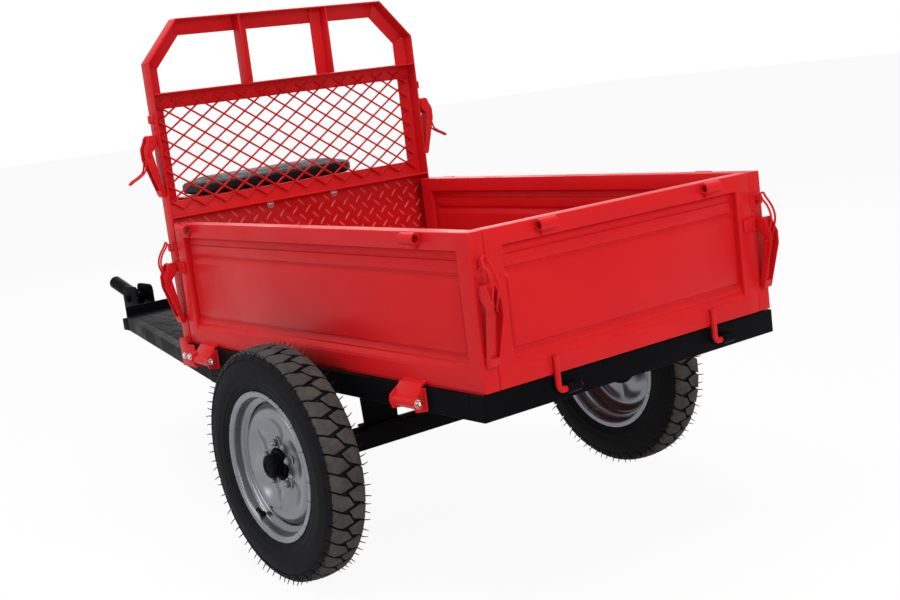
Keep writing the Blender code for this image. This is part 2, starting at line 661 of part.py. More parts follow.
def make_hitch(trailer):
    """Two cheeks on a base and a back plate, with the cross pin in them, and the tilting tow tube."""
    half = HITCH_WIDTH / 2
    back = BAR_END + TOE_LENGTH + GAP
    pin = (HITCH_PIN_PLACE, CHASSIS_BOTTOM + HITCH_PIN_LIFT)
    bm = bmesh.new()
    add_block(bm, (-half, back, HITCH_BASE), (half, HITCH_FRONT, HITCH_BASE + HITCH_PLATE))
    bracket = trailer.place("hitch_bracket", bm, "black")
    bm = bmesh.new()
    for sign in SIDES.values():
        add_prism(bm, cheek_outline(), "X", sign * (half - HITCH_PLATE), sign * half)
    add_block(bm, (-half, back, HITCH_BASE), (half, back + HITCH_PLATE, HITCH_BASE + BAR_HEIGHT))
    past = HITCH_PIN_HEAD / 4
    pin_end = half + HITCH_PIN_HEAD + past
    add_cylinder(bm, HITCH_PIN_DIAMETER / 2, "X", pin, -pin_end, pin_end, 16)
    for sign in SIDES.values():
        add_cylinder(bm, HITCH_NUT_RADIUS, "X", pin, sign * (half - BURY), sign * (half + HITCH_PIN_HEAD), 6)
    trailer.combine(bracket, bm, "UNION")

    trailer.add_body("tow_tube", (0, *pin))
    tail = HITCH_TAIL
    bm = bmesh.new()
    add_cylinder(bm, HITCH_TUBE_DIAMETER / 2, "Y", (0, 0), -tail, HITCH_TUBE_LENGTH - tail, 24)
    tilt = Matrix.Rotation(math.radians(HITCH_TUBE_TILT), 4, "X")
    bmesh.ops.transform(bm, matrix=tilt, verts=bm.verts)
    tube = trailer.place("tow_tube", bm, "black", "tow_tube", (0, *pin), round_angle=40)
    bm = bmesh.new()
    slack = 0.005
    add_cylinder(bm, HITCH_TUBE_BORE / 2, "Y", (0, 0), -tail - slack, HITCH_TUBE_LENGTH - tail + slack, 24)
    bmesh.ops.transform(bm, matrix=tilt, verts=bm.verts)
    trailer.combine(tube, bm, "DIFFERENCE")
    bm = bmesh.new()
    add_cylinder(bm, HITCH_PIN_DIAMETER / 2 + BORE_GAP, "X", (0, 0), -HITCH_WIDTH, HITCH_WIDTH, 16)
    trailer.combine(tube, bm, "DIFFERENCE")


def add_hull(bm, points):
    corners = [bm.verts.new(point) for point in points]
    bmesh.ops.convex_hull(bm, input=corners)


def merge(bm, other, place=(0, 0, 0), turn=0.0):
    """Add another mesh, turned about Z and then moved."""
    move = Matrix.Translation(place) @ Matrix.Rotation(math.radians(turn), 4, "Z")
    bmesh.ops.transform(other, matrix=move, verts=other.verts)
    mesh = bpy.data.meshes.new("merged")
    other.to_mesh(mesh)
    other.free()
    bm.from_mesh(mesh)
    bpy.data.meshes.remove(mesh)


def make_pressed_panel(trailer, name, body, point, start, end):
    """A box-edged panel pressed in on both faces, with a ridge under its top rail.

    point(length, depth, height) gives the place of a spot on the panel, with depth
    measured inwards from its outer face.
    """
    bm = bmesh.new()
    add_hull(bm, [point(run, depth, height) for run in (start, end)
                  for depth in (0, PANEL_THICKNESS) for height in (PANEL_BOTTOM, PANEL_TOP)])
    panel = trailer.place(name, bm, "red", body)
    bm = bmesh.new()
    for outside in (True, False):
        add_hull(bm, pressing(point, start, end, outside))
    trailer.combine(panel, bm, "DIFFERENCE")
    ridge_top = PANEL_TOP - PANEL_RAIL - RIDGE_DROP
    edge = PRESS_DEPTH - RIDGE_DEPTH
    bm = bmesh.new()
    add_hull(bm, [point(run, depth, height)
                  for run in (start + PANEL_STILE / 2, end - PANEL_STILE / 2)
                  for depth in (edge, PANEL_THICKNESS - edge)
                  for height in (ridge_top - RIDGE_HEIGHT, ridge_top)])
    return panel, bm


def pressing(point, start, end, outside):
    """The hollow on one face: sloped at its ends and foot, square under the top rail."""
    overrun = 0.005
    corners = []
    for depth in (-overrun, PRESS_DEPTH):
        share = depth / PRESS_DEPTH
        side = PRESS_SLOPE * share
        low = PANEL_BOTTOM + PANEL_FOOT + FOOT_SLOPE * share
        place = depth if outside else PANEL_THICKNESS - depth
        corners += [point(run, place, height)
                    for run in (start + PANEL_STILE + side, end - PANEL_STILE - side)
                    for height in (low, PANEL_TOP - PANEL_RAIL)]
    return corners


def add_socket(bm, axis, centre, middle):
    """A short tube with a shallow mouth at its rear or left end."""
    mouth = SOCKET_MOUTH
    start, end = middle - SOCKET_LENGTH / 2, middle + SOCKET_LENGTH / 2
    bore = SOCKET_BORE / 2
    other = bmesh.new()
    add_turned(other, [(start + mouth, 0), (start + mouth, bore), (start, bore), (start, SOCKET_DIAMETER / 2),
                       (end, SOCKET_DIAMETER / 2), (end, 0)], 12, closed=False)
    if axis == "Y":
        merge(bm, other, (centre[0], 0, centre[1]), 90.0)
    else:
        merge(bm, other, (0, centre[0], centre[1]))


def lug_shape():
    """The bracket that carries a lever: a lug standing off the face, with the lever's pin through it."""
    half = LEVER_WIDTH / 2 - LEVER_WALL - 0.0015
    reach = LATCH_PIN_OUT + LATCH_PIN
    bm = bmesh.new()
    add_block(bm, (-half, -reach, LATCH_PIN_UP - LUG_HEIGHT / 2),
              (half, -LATCH_STRAP / 2, LATCH_PIN_UP + LUG_HEIGHT / 2))
    add_cylinder(bm, LATCH_PIN / 2, "X", (-LATCH_PIN_OUT, LATCH_PIN_UP), -LEVER_WIDTH / 2, LEVER_WIDTH / 2)
    return bm


def keeper_shape():
    """A plate on the face with an upturned hook for the bail."""
    half = KEEPER_WIDTH / 2
    reach, thick = HOOK_REACH, HOOK_SHEET
    bm = bmesh.new()
    add_block(bm, (-half, -LATCH_STRAP, KEEPER_LIFT), (half, SWING_GAP, KEEPER_LIFT + KEEPER_HEIGHT))
    add_prism(bm, [(-LATCH_STRAP / 2, HOOK_LIFT), (-LATCH_STRAP / 2, HOOK_LIFT + thick),
                   (-reach + thick, HOOK_LIFT + thick), (-reach + thick, HOOK_LIFT + HOOK_HEIGHT),
                   (-reach, HOOK_LIFT + HOOK_HEIGHT), (-reach, HOOK_LIFT)], "X", -half / 2, half / 2)
    return bm


def strap_shape(edge_distance, toward):
    """Strap in the latch's own axes: held on a panel, reaching over the gap beside it.

    edge_distance is from the lever's middle to the panel's edge, which lies on the side
    that toward gives.
    """
    out = -LATCH_STRAP - SWING_GAP
    far = -toward * LEVER_WIDTH / 2
    rim = toward * (edge_distance + SWING_GAP)
    near = toward * (edge_distance + STRAP_HOLD)
    bm = bmesh.new()
    add_prism(bm, [(far, out), (near, out), (near, BURY), (rim, BURY), (rim, -SWING_GAP), (far, -SWING_GAP)],
              "Z", LATCH_PIN_UP - LUG_HEIGHT / 2 - LATCH_STRAP, LATCH_PIN_UP + LUG_HEIGHT / 2 + BURY)
    return bm


def base_shape():
    """A plate welded to a post, for a lug that needs no strap."""
    half = LEVER_WIDTH / 2
    bm = bmesh.new()
    add_block(bm, (-half, -LATCH_STRAP, LATCH_PIN_UP - LUG_HEIGHT), (half, BURY, LATCH_PIN_UP + LUG_HEIGHT))
    return bm


def lever_mesh():
    """A tapered channel, open outwards, 0 at its pin; X across and -Y away from the face."""
    head = arc((-LATCH_PIN_OUT, LATCH_PIN_UP), LEVER_HEAD_RADIUS, 0, 180, 6)
    tip_centre = (-LEVER_TIP, -LEVER_LENGTH + LEVER_TIP)
    tip = arc(tip_centre, LEVER_TIP_RADIUS, 200, 330, 4)
    front = [(-LEVER_REACH, BAIL_PIN_UP + FRONT_ABOVE), (-LEVER_REACH, BAIL_PIN_UP - FRONT_BELOW)]
    outline = head + front + tip
    bm = bmesh.new()
    add_prism(bm, outline, "X", -LEVER_WIDTH / 2, LEVER_WIDTH / 2)
    return bm, outline


def lever_hollow(outline):
    """What is cut out between the channel's cheeks, behind its web."""
    inner = LEVER_WIDTH / 2 - LEVER_WALL
    back = outline[0][0]
    web_top = LATCH_PIN_UP - LEVER_HEAD_RADIUS - WEB_DROP
    foot = -LEVER_LENGTH + 2.5 * LEVER_TIP
    over = 0.010
    away = -0.060
    bm = bmesh.new()
    add_prism(bm, [(over, 2 * over), (over, web_top), (back - LEVER_WALL, web_top),
                   (-LEVER_TIP * 0.2 - LEVER_WALL, foot), (away, foot), (away, 2 * over)], "X", -inner, inner)
    return bm


def lever_holes():
    """The holes for the lever's own pin and for the bail's legs."""
    bm = bmesh.new()
    for pin, radius in (((-LATCH_PIN_OUT, LATCH_PIN_UP), LATCH_PIN / 2),
                        ((-BAIL_PIN_OUT, BAIL_PIN_UP), BAIL_WIRE / 2)):
        add_cylinder(bm, radius + BORE_GAP, "X", pin, -LEVER_WIDTH, LEVER_WIDTH)
    return bm


def bail_points(hooked):
    """Route of the wire, 0 at the lever's top: up to the keeper, or hanging free and bent out."""
    pin = Vector((0, -BAIL_PIN_OUT, BAIL_PIN_UP))
    leg = BAIL_HALF_WIDTH
    start = BAIL_WIRE * (0.9 if hooked else -0.9)
    if hooked:
        spine = [BAIL_SLOPE, (BAIL_REACH, BAIL_BULGE_UP), BAIL_SHOULDER, BAIL_NECK]
        top = BAIL_LOOP
    else:
        spine = [FREE_SLOPE, FREE_BULGE, FREE_SHOULDER, FREE_NECK]
        top = FREE_LOOP
    end = Vector((LEVER_WIDTH / 2, pin.y, pin.z))
    knee = Vector((leg + BAIL_WIRE / 2, pin.y, pin.z))
    side = [end, knee, Vector((leg, pin.y - BAIL_WIRE / 4, pin.z + start))]
    side += [Vector((leg, -out, up)) for out, up in spine]
    side.append(Vector((BAIL_LOOP_WIDTH, -top[0], top[1])))
    mirrored = [Vector((-point.x, point.y, point.z)) for point in reversed(side)]
    return side + mirrored


def place_wire(trailer, name, points, wire, finish, body, location, turn=0.0):
    """A round rod bent along the points, with filled ends."""
    curve = bpy.data.curves.new(name, "CURVE")
    curve.dimensions = "3D"
    curve.bevel_depth = wire / 2
    curve.bevel_resolution = 1
    curve.use_fill_caps = True
    spline = curve.splines.new("POLY")
    spline.points.add(len(points) - 1)
    for spot, point in zip(spline.points, points):
        spot.co = (*point, 1.0)
    curve.materials.append(trailer.finishes[finish])
    return trailer.link(bpy.data.objects.new(name, curve), body, location, turn)


def make_latch(trailer, name, carrier, place, turn, hooked):
    """The lever and its bail, hung at a spot on a face; place is level with the lever's top."""
    swing = Matrix.Rotation(math.radians(turn), 4, "Z")
    spot = Vector(place)
    pin = spot + swing @ Vector((0, -LATCH_PIN_OUT, LATCH_PIN_UP))
    bail_pin = spot + swing @ Vector((0, -BAIL_PIN_OUT, BAIL_PIN_UP))
    lever_body, bail_body = "lever_" + name, "bail_" + name
    trailer.add_body(lever_body, pin, carrier)
    trailer.add_body(bail_body, bail_pin, lever_body)
    bm, outline = lever_mesh()
    lever = trailer.place("latch_" + lever_body, bm, "red", lever_body, spot, turn)
    trailer.combine(lever, lever_hollow(outline), "DIFFERENCE")
    trailer.combine(lever, lever_holes(), "DIFFERENCE")
    place_wire(trailer, "latch_" + bail_body, bail_points(hooked), BAIL_WIRE, "red", bail_body, spot, turn)


def make_tailgate(trailer):
    half = TAIL_WIDTH / 2
    trailer.add_body("tailgate", (0, TAIL_HINGE_Y, HINGE_Z))

    def point(run, depth, height):
        return (run, depth, height)

    gate, extras = make_pressed_panel(trailer, "tailgate", "tailgate", point, -half, half)
    for middle in TAIL_SOCKET_PLACES:
        add_socket(extras, "X", (BURY - SOCKET_DIAMETER / 2, PANEL_TOP - SOCKET_DROP), middle)
    for side, sign in SIDES.items():
        place = (sign * REAR_LATCH_X, 0, LOW_LATCH_TOP)
        merge(extras, strap_shape(REAR_LATCH_X - half, -sign), place)
        merge(extras, lug_shape(), place)
    trailer.combine(gate, extras, "UNION")
    for side, sign in SIDES.items():
        place = (sign * REAR_LATCH_X, 0, LOW_LATCH_TOP)
        make_latch(trailer, "rear_" + side, "tailgate", place, 0.0, True)
    for side, place in zip(SIDES, TAIL_ROD_PLACES):
        make_tail_hinge(trailer, side, place)


def make_tail_hinge(trailer, side, place):
    """A rod down the tailgate's rear face, bent sideways into a tube on the chassis."""
    bend = 0.012
    top = PANEL_BOTTOM + PANEL_FOOT
    tube_start = place + bend + TAIL_ROD / 2
    tube_end = tube_start + TAIL_TUBE_LENGTH
    past = 0.004
    corner = [(place + bend - bend * math.cos(t), HINGE_Z + bend - bend * math.sin(t))
              for t in (math.radians(step * 22.5) for step in range(5))]
    route = [(place, top)] + corner + [(tube_end + past, HINGE_Z)]
    points = [Vector((x, TAIL_HINGE_Y, z)) for x, z in route]
    place_wire(trailer, "tail_hinge_rod_" + side, points, TAIL_ROD, "red", "tailgate", (0, 0, 0))
    bm = bmesh.new()
    bore = TAIL_ROD / 2 + BORE_GAP
    add_turned(bm, [(tube_start, bore), (tube_start, TAIL_TUBE / 2), (tube_end, TAIL_TUBE / 2),
                    (tube_end, bore)], 20)
    trailer.place("tail_hinge_tube_" + side, bm, "black", location=(0, TAIL_HINGE_Y, HINGE_Z),
                  round_angle=40)


def make_side_panel(trailer, side, sign):
    face = sign * BOX_WIDTH / 2
    body = "side_panel_" + side
    turn = SIDE_TURNS[side]
    trailer.add_body(body, (sign * SIDE_HINGE_X, 0, HINGE_Z))

    def point(run, depth, height):
        return (face - sign * depth, run, height)

    panel, extras = make_pressed_panel(trailer, body, body, point, 0.0, BOX_LENGTH)
    for middle in SIDE_SOCKET_PLACES:
        add_socket(extras, "Y", (face + sign * (SOCKET_DIAMETER / 2 - BURY), PANEL_TOP - SOCKET_DROP), middle)
    merge(extras, keeper_shape(), (sign * REAR_LATCH_X, 0, LOW_LATCH_TOP))
    spot = (face, SIDE_LATCH_Y, LOW_LATCH_TOP)
    merge(extras, strap_shape(SIDE_LATCH_Y - BOX_LENGTH, -sign), spot, turn)
    merge(extras, lug_shape(), spot, turn)
    for middle in SIDE_HINGE_PLACES:
        add_hinge_leaf(extras, sign, middle)
    trailer.combine(panel, extras, "UNION")
    bm = bmesh.new()
    for middle in SIDE_HINGE_PLACES:
        add_cylinder(bm, HINGE_BOLT / 2 + BORE_GAP, "Y", (sign * SIDE_HINGE_X, HINGE_Z),
                     middle - HINGE_LENGTH / 2, middle + HINGE_LENGTH / 2)
    trailer.combine(panel, bm, "DIFFERENCE")
    make_latch(trailer, "front_" + side, body, spot, turn, True)
    for end, middle in zip(("rear", "front"), SIDE_HINGE_PLACES):
        make_hinge_bracket(trailer, end + "_" + side, sign, middle)


def add_hinge_leaf(bm, sign, middle):
    """A plate from the panel's lower edge over the chassis, down to a barrel round the bolt."""
    half = HINGE_LENGTH / 2 - HINGE_CHEEK - GAP
    edge = BOX_WIDTH / 2
    neck = LEAF_SHEET
    section = [(edge - LEAF_LAP, PANEL_BOTTOM + LEAF_LIFT), (SIDE_HINGE_X - LEAF_BEND, RAIL_TOP + LEAF_LIFT),
               (SIDE_HINGE_X - neck, HINGE_Z + LEAF_NECK), (SIDE_HINGE_X + neck, HINGE_Z + LEAF_NECK),
               (edge + LEAF_LAP, PANEL_BOTTOM + LEAF_SHEET)]
    add_prism(bm, [(sign * x, z) for x, z in section], "Y", middle - half + BURY, middle + half - BURY)
    add_cylinder(bm, HINGE_BARREL, "Y", (sign * SIDE_HINGE_X, HINGE_Z), middle - half, middle + half)


def make_hinge_bracket(trailer, name, sign, middle):
    """Two cheeks on a plate on the chassis rail, with the bolt through them."""
    half = HINGE_LENGTH / 2
    wall = CHASSIS_WIDTH / 2 + GAP
    low = CHASSIS_BOTTOM + BRACKET_INSET
    high = RAIL_TOP - SWING_GAP
    reach = SIDE_HINGE_X + CHEEK_REACH
    corner = CHEEK_REACH / 2
    cheek = [(wall, low), (reach - corner, low + corner / 2), (reach, HINGE_Z),
             (reach - corner / 2, HINGE_Z + CHEEK_REACH - GAP), (wall + corner, high), (wall, high)]
    bm = bmesh.new()
    add_block(bm, (sign * wall, middle - half, low),
              (sign * (wall + HINGE_CHEEK), middle + half, high - HINGE_CHEEK))
    bracket = trailer.place("side_hinge_" + name, bm, "red")
    bm = bmesh.new()
    for start in (middle - half, middle + half - HINGE_CHEEK):
        add_prism(bm, [(sign * x, z) for x, z in cheek], "Y", start, start + HINGE_CHEEK)
    centre = (sign * SIDE_HINGE_X, HINGE_Z)
    head = HINGE_BOLT_HEAD
    add_cylinder(bm, HINGE_BOLT / 2, "Y", centre, middle - half - head / 2, middle + half + head)
    add_cylinder(bm, HINGE_NUT_RADIUS, "Y", centre, middle - half - head, middle - half + BURY, 6)
    trailer.combine(bracket, bm, "UNION")


def head_corners():
    """Outer corners of the headboard's frame from left foot to right foot, in X and Z."""
    right = [(HEAD_HALF_WIDTH - CHAMFER_WIDTH, HEAD_TOP), (HEAD_HALF_WIDTH, MID_RAIL_TOP + CHAMFER_LIFT),
             (HEAD_HALF_WIDTH, RAIL_TOP + GAP)]
    return [(-x, z) for x, z in reversed(right)] + right


def inward(first, second):
    """Unit direction to the right of a run, which is the inside of the frame."""
    run = Vector(second) - Vector(first)
    return Vector((run.y, -run.x)).normalized()


def mitred(corners, index, inset):
    """A corner of the frame moved inwards so that both runs beside it shift by the inset."""
    spot = Vector(corners[index])
    if index in (0, len(corners) - 1):
        other = 1 if index == 0 else index - 1
        pair = (index, other) if index == 0 else (other, index)
        return spot + inset * inward(corners[pair[0]], corners[pair[1]])
    before = inward(corners[index - 1], corners[index])
    after = inward(corners[index], corners[index + 1])
    return spot + inset * (before + after) / (1 + before.dot(after))


def add_angle_run(bm, corners, index):
    """One mitred run of angle iron: a leg in the frame's plane and a leg pointing rearward."""
    front = HEAD_REAR + ANGLE_WALL
    back = front - ANGLE_LEG
    section = [(0, front), (ANGLE_LEG, front), (ANGLE_LEG, HEAD_REAR), (ANGLE_WALL, HEAD_REAR),
               (ANGLE_WALL, back), (0, back)]
    run = (Vector(corners[index + 1]) - Vector(corners[index])).normalized() * GAP / 2
    rings = []
    for end, shift in ((index, run), (index + 1, -run)):
        spots = [mitred(corners, end, inset) + shift for inset, place in section]
        rings.append([bm.verts.new((spot.x, place, spot.y)) for spot, (inset, place) in zip(spots, section)])
    first, second = rings
    bm.faces.new(first)
    bm.faces.new(second)
    for i in range(len(section)):
        bm.faces.new((first[i - 1], first[i], second[i], second[i - 1]))


def make_headboard(trailer):
    corners = head_corners()
    names = ("headboard_post_left", "headboard_corner_left", "headboard_top_rail",
             "headboard_corner_right", "headboard_post_right")
    for index, name in enumerate(names):
        bm = bmesh.new()
        add_angle_run(bm, corners, index)
        piece = trailer.place(name, bm, "red")
        if "post" in name:
            side = name.rsplit("_", 1)[1]
            trailer.combine(piece, post_fittings(SIDES[side], SIDE_TURNS[side]), "UNION")
    for side, sign in SIDES.items():
        spot = (sign * HEAD_HALF_WIDTH, SIDE_LATCH_Y, HIGH_LATCH_TOP)
        make_latch(trailer, "upper_" + side, "root", spot, SIDE_TURNS[side], False)
    make_head_rails(trailer)
    make_head_mesh(trailer)


def post_fittings(sign, turn):
    """Foot plate beside the chassis with its two bolts, and what the latches need on the post."""
    front = HEAD_REAR + ANGLE_WALL
    face = CHASSIS_WIDTH / 2 + GAP
    rear = front - ANGLE_LEG
    sheet = ANGLE_WALL
    sole = FOOT_PLATE_RISE
    bm = bmesh.new()
    add_prism(bm, [(rear - FOOT_PLATE_REACH, POST_FOOT), (front, POST_FOOT), (front, RAIL_TOP + sole),
                   (rear + BURY, RAIL_TOP + sole), (rear + BURY, RAIL_TOP), (rear - FOOT_PLATE_REACH, RAIL_TOP)],
              "X", sign * face, sign * (face + sheet))
    inside = HEAD_HALF_WIDTH - ANGLE_WALL + BURY
    add_block(bm, (sign * inside, rear + 2 * BURY, RAIL_TOP + 2 * BURY),
              (sign * (face + BURY), front - BURY, RAIL_TOP + sole - BURY))
    bolt_height = CHASSIS_BOTTOM + FOOT_BOLT_RISE
    for place in (front - FOOT_BOLT_INSET, front - FOOT_BOLT_INSET - FOOT_BOLT_SPACING):
        add_cylinder(bm, FOOT_BOLT_RADIUS, "X", (place, bolt_height), sign * (face + sheet - BURY),
                     sign * (face + sheet + FOOT_BOLT_HEAD), 6)
    low = (sign * HEAD_HALF_WIDTH, SIDE_LATCH_Y, LOW_LATCH_TOP)
    high = (sign * HEAD_HALF_WIDTH, SIDE_LATCH_Y, HIGH_LATCH_TOP)
    merge(bm, keeper_shape(), low, turn)
    merge(bm, keeper_shape(), high, turn)
    merge(bm, base_shape(), high, turn)
    merge(bm, lug_shape(), high, turn)
    return bm


def make_head_rails(trailer):
    half = HEAD_HALF_WIDTH - ANGLE_WALL - GAP
    bm = bmesh.new()
    outline = angle_outline((RAIL_FRONT, MID_RAIL_TOP), -ANGLE_LEG, -ANGLE_LEG, ANGLE_WALL)
    add_prism(bm, outline, "X", -half, half)
    trailer.place("headboard_middle_rail", bm, "red")
    bm = bmesh.new()
    add_prism(bm, angle_outline((RAIL_FRONT, LOW_RAIL_BOTTOM), -ANGLE_LEG, LOW_RAIL_TOP - LOW_RAIL_BOTTOM,
                                ANGLE_WALL), "X", -half, half)
    trailer.place("headboard_lower_rail", bm, "red")
    for side, sign in SIDES.items():
        bm = bmesh.new()
        corner = (sign * UPRIGHT_EDGE, HEAD_REAR - GAP)
        add_prism(bm, angle_outline(corner, -sign * UPRIGHT_LEG, -UPRIGHT_LEG, ANGLE_WALL), "Z",
                  MID_RAIL_TOP + GAP, HEAD_TOP - ANGLE_WALL - GAP)
        trailer.place("headboard_upright_" + side, bm, "red")


def fitted_cell(span, cell, part):
    """The cell size nearest the given one at which the net meets all its edges in the same way."""
    return span / (2 * round((span / cell - part) / 2) + part)


def make_head_mesh(trailer):
    """Crossing rods as a flat net: a diamond grid whose cells are opened and whose strands are
    raised to a ridge, then cut to size, mirrored to the other face and closed at the ends."""
    half = HEAD_HALF_WIDTH - ANGLE_LEG + MESH_LAP
    low = LOW_RAIL_TOP - MESH_LAP
    high = MID_RAIL_TOP - ANGLE_LEG + MESH_LAP
    width = fitted_cell(2 * half, DIAMOND_WIDTH, PART_ACROSS)
    height = fitted_cell(high - low, DIAMOND_HEIGHT, PART_UP)
    cells = 2 * math.ceil(half / width + (high - low) / height / 2)
    bm = bmesh.new()
    bmesh.ops.create_grid(bm, x_segments=cells, y_segments=cells, size=cells / math.sqrt(2) / 2)
    bmesh.ops.rotate(bm, verts=bm.verts, matrix=Matrix.Rotation(math.radians(45), 3, "Z"))
    bmesh.ops.scale(bm, verts=bm.verts, vec=(width, height, 1))
    rise = MESH_RISE * height / DIAMOND_HEIGHT
    bmesh.ops.translate(bm, verts=bm.verts, vec=(MESH_SHIFT * width / DIAMOND_WIDTH, rise, 0))
    field, ridge = list(bm.faces), list(bm.verts)
    bmesh.ops.inset_individual(bm, faces=field, thickness=MESH_ROD / 2, use_even_offset=True)
    bmesh.ops.delete(bm, geom=field, context="FACES_ONLY")
    bmesh.ops.translate(bm, verts=ridge, vec=(0, 0, MESH_ROD / 2))
    tall = (high - low) / 2
    for axis, reach in ((Vector((1, 0, 0)), half), (Vector((0, 1, 0)), tall)):
        for sign in SIDES.values():
            bmesh.ops.bisect_plane(bm, geom=bm.verts[:] + bm.edges[:] + bm.faces[:], dist=1e-6,
                                   plane_co=sign * axis * reach, plane_no=sign * axis, clear_outer=True)
    made = bmesh.ops.duplicate(bm, geom=bm.verts[:] + bm.edges[:] + bm.faces[:])
    copies = [item for item in made["geom"] if isinstance(item, bmesh.types.BMVert)]
    bmesh.ops.scale(bm, verts=copies, vec=(1, 1, -1))
    bmesh.ops.remove_doubles(bm, verts=bm.verts, dist=1e-6)
    bmesh.ops.holes_fill(bm, edges=[edge for edge in bm.edges if edge.is_boundary], sides=0)
    bmesh.ops.rotate(bm, verts=bm.verts, matrix=Matrix.Rotation(math.radians(90), 3, "X"))
    place = (0, RAIL_FRONT - ANGLE_WALL - GAP - MESH_ROD / 2, (low + high) / 2)
    trailer.place("headboard_mesh", bm, "red", location=place)


def make_front_panel(trailer):
    half = HEAD_HALF_WIDTH - ANGLE_WALL - GAP
    front = HEAD_REAR - GAP
    bm = bmesh.new()
    add_block(bm, (-half, front - FRONT_SHEET, RAIL_TOP + GAP), (half, front, LOW_RAIL_BOTTOM - FRONT_DROP))
    panel = trailer.place("front_panel", bm, "red")
    trailer.combine(panel, seat_bolt_holes(), "DIFFERENCE")


def seat_bolt_holes():
    bm = bmesh.new()
    for sign in SIDES.values():
        add_cylinder(bm, SEAT_BOLT_RADIUS + BORE_GAP, "Y", (sign * SEAT_BOLT_X, SEAT_BOLT_Z),
                     HEAD_REAR - ANGLE_LEG, HEAD_REAR + ANGLE_LEG)
    return bm


def make_seat(trailer):
    """The pan is one folded sheet: a leg down the front panel, the seat and a lip."""
    front = HEAD_REAR + ANGLE_WALL
    leg_rear = front + GAP
    leg_front = leg_rear + PAN_SHEET
    top = SEAT_BOTTOM - GAP
    lip = HEAD_REAR + PAN_REACH
    half = PAN_WIDTH / 2
    bm = bmesh.new()
    add_prism(bm, [(leg_rear, top - PAN_LEG), (leg_front, top - PAN_LEG), (leg_front, top - PAN_SHEET),
                   (lip - PAN_SHEET, top - PAN_SHEET), (lip - PAN_SHEET, top - PAN_LIP),
                   (lip, top - PAN_LIP), (lip, top), (leg_rear, top)], "X", -half, half)
    pan = trailer.place("seat_pan", bm, "red")
    trailer.combine(pan, seat_bolt_holes(), "DIFFERENCE")
    rear = HEAD_REAR - GAP - FRONT_SHEET - GAP
    ahead = leg_front + GAP
    for side, sign in SIDES.items():
        bm = bmesh.new()
        add_cylinder(bm, SEAT_BOLT_RADIUS, "Y", (0, 0), rear - SEAT_NUT_HEIGHT / 2, ahead + SEAT_BOLT_HEAD / 2)
        bolt = trailer.place("seat_bolt_" + side, bm, "zinc", location=(sign * SEAT_BOLT_X, 0, SEAT_BOLT_Z))
        bm = bmesh.new()
        add_cylinder(bm, SEAT_NUT_RADIUS, "Y", (0, 0), rear - SEAT_NUT_HEIGHT, rear, 6)
        add_cylinder(bm, SEAT_NUT_RADIUS, "Y", (0, 0), ahead, ahead + SEAT_BOLT_HEAD, 6)
        trailer.combine(bolt, bm, "UNION")
    make_cushion(trailer)


def rounded_outline(half_x, half_y, corner, steps):
    points = []
    for quarter, (sx, sy) in enumerate(((1, 1), (-1, 1), (-1, -1), (1, -1))):
        centre = (sx * (half_x - corner), sy * (half_y - corner))
        points += arc(centre, corner, 90 * quarter, 90 * quarter + 90, steps)
    return points


def make_cushion(trailer):
    """Flat underneath, rounded sides drawn in at the top and bottom, and a crown."""
    half_x, half_y = SEAT_WIDTH / 2, SEAT_DEPTH / 2
    rings = []
    bm = bmesh.new()
    side_steps = 6
    for step in range(side_steps + 1):
        turn = math.pi * (step / side_steps - 0.5)
        inset = SEAT_EDGE_HEIGHT / 2 * (1 - math.cos(turn))
        height = SEAT_EDGE_HEIGHT / 2 * (1 + math.sin(turn))
        rings.append((inset, height))
    crown_steps = 5
    for step in range(1, crown_steps):
        share = step / crown_steps
        inset = SEAT_EDGE_HEIGHT / 2 + share * (SEAT_CORNER - SEAT_EDGE_HEIGHT / 2) * CROWN_REACH
        rings.append((inset, SEAT_EDGE_HEIGHT + SEAT_CROWN * math.sin(share * math.pi / 2)))
    loops = []
    for inset, height in rings:
        outline = rounded_outline(half_x - inset, half_y - inset, SEAT_CORNER - inset, 5)
        loops.append([bm.verts.new((x, y, height)) for x, y in outline])
    for lower, upper in zip(loops, loops[1:]):
        for i in range(len(lower)):
            bm.faces.new((lower[i - 1], lower[i], upper[i], upper[i - 1]))
    bm.faces.new(loops[0])
    bm.faces.new(loops[-1])
    place = (0, HEAD_REAR + SEAT_AHEAD + half_y, SEAT_BOTTOM)
    trailer.place("seat_cushion", bm, "vinyl", location=place, round_angle=60)


def main():
    clear_scene()
    tilt = math.radians(HITCH_TUBE_TILT)
    ahead = HITCH_TUBE_LENGTH - HITCH_TAIL
    nose = HITCH_PIN_PLACE + ahead * math.cos(tilt) + HITCH_TUBE_DIAMETER / 2 * math.sin(tilt)
    tail = -(BAIL_REACH + BAIL_WIRE / 2)
    trailer = Trailer(-(nose + tail) / 2)
    make_chassis(trailer)
    make_deck_floor(trailer)
    make_axle(trailer)
    make_drawbar(trailer)
    make_hitch(trailer)
    make_tailgate(trailer)
    for side, sign in SIDES.items():
        make_wheel(trailer, side, sign)
        make_side_panel(trailer, side, sign)
    make_front_panel(trailer)
    make_headboard(trailer)
    make_seat(trailer)


main()
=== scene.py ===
import json
import math
import random

import bmesh
import bpy
from mathutils import Matrix, Vector, noise

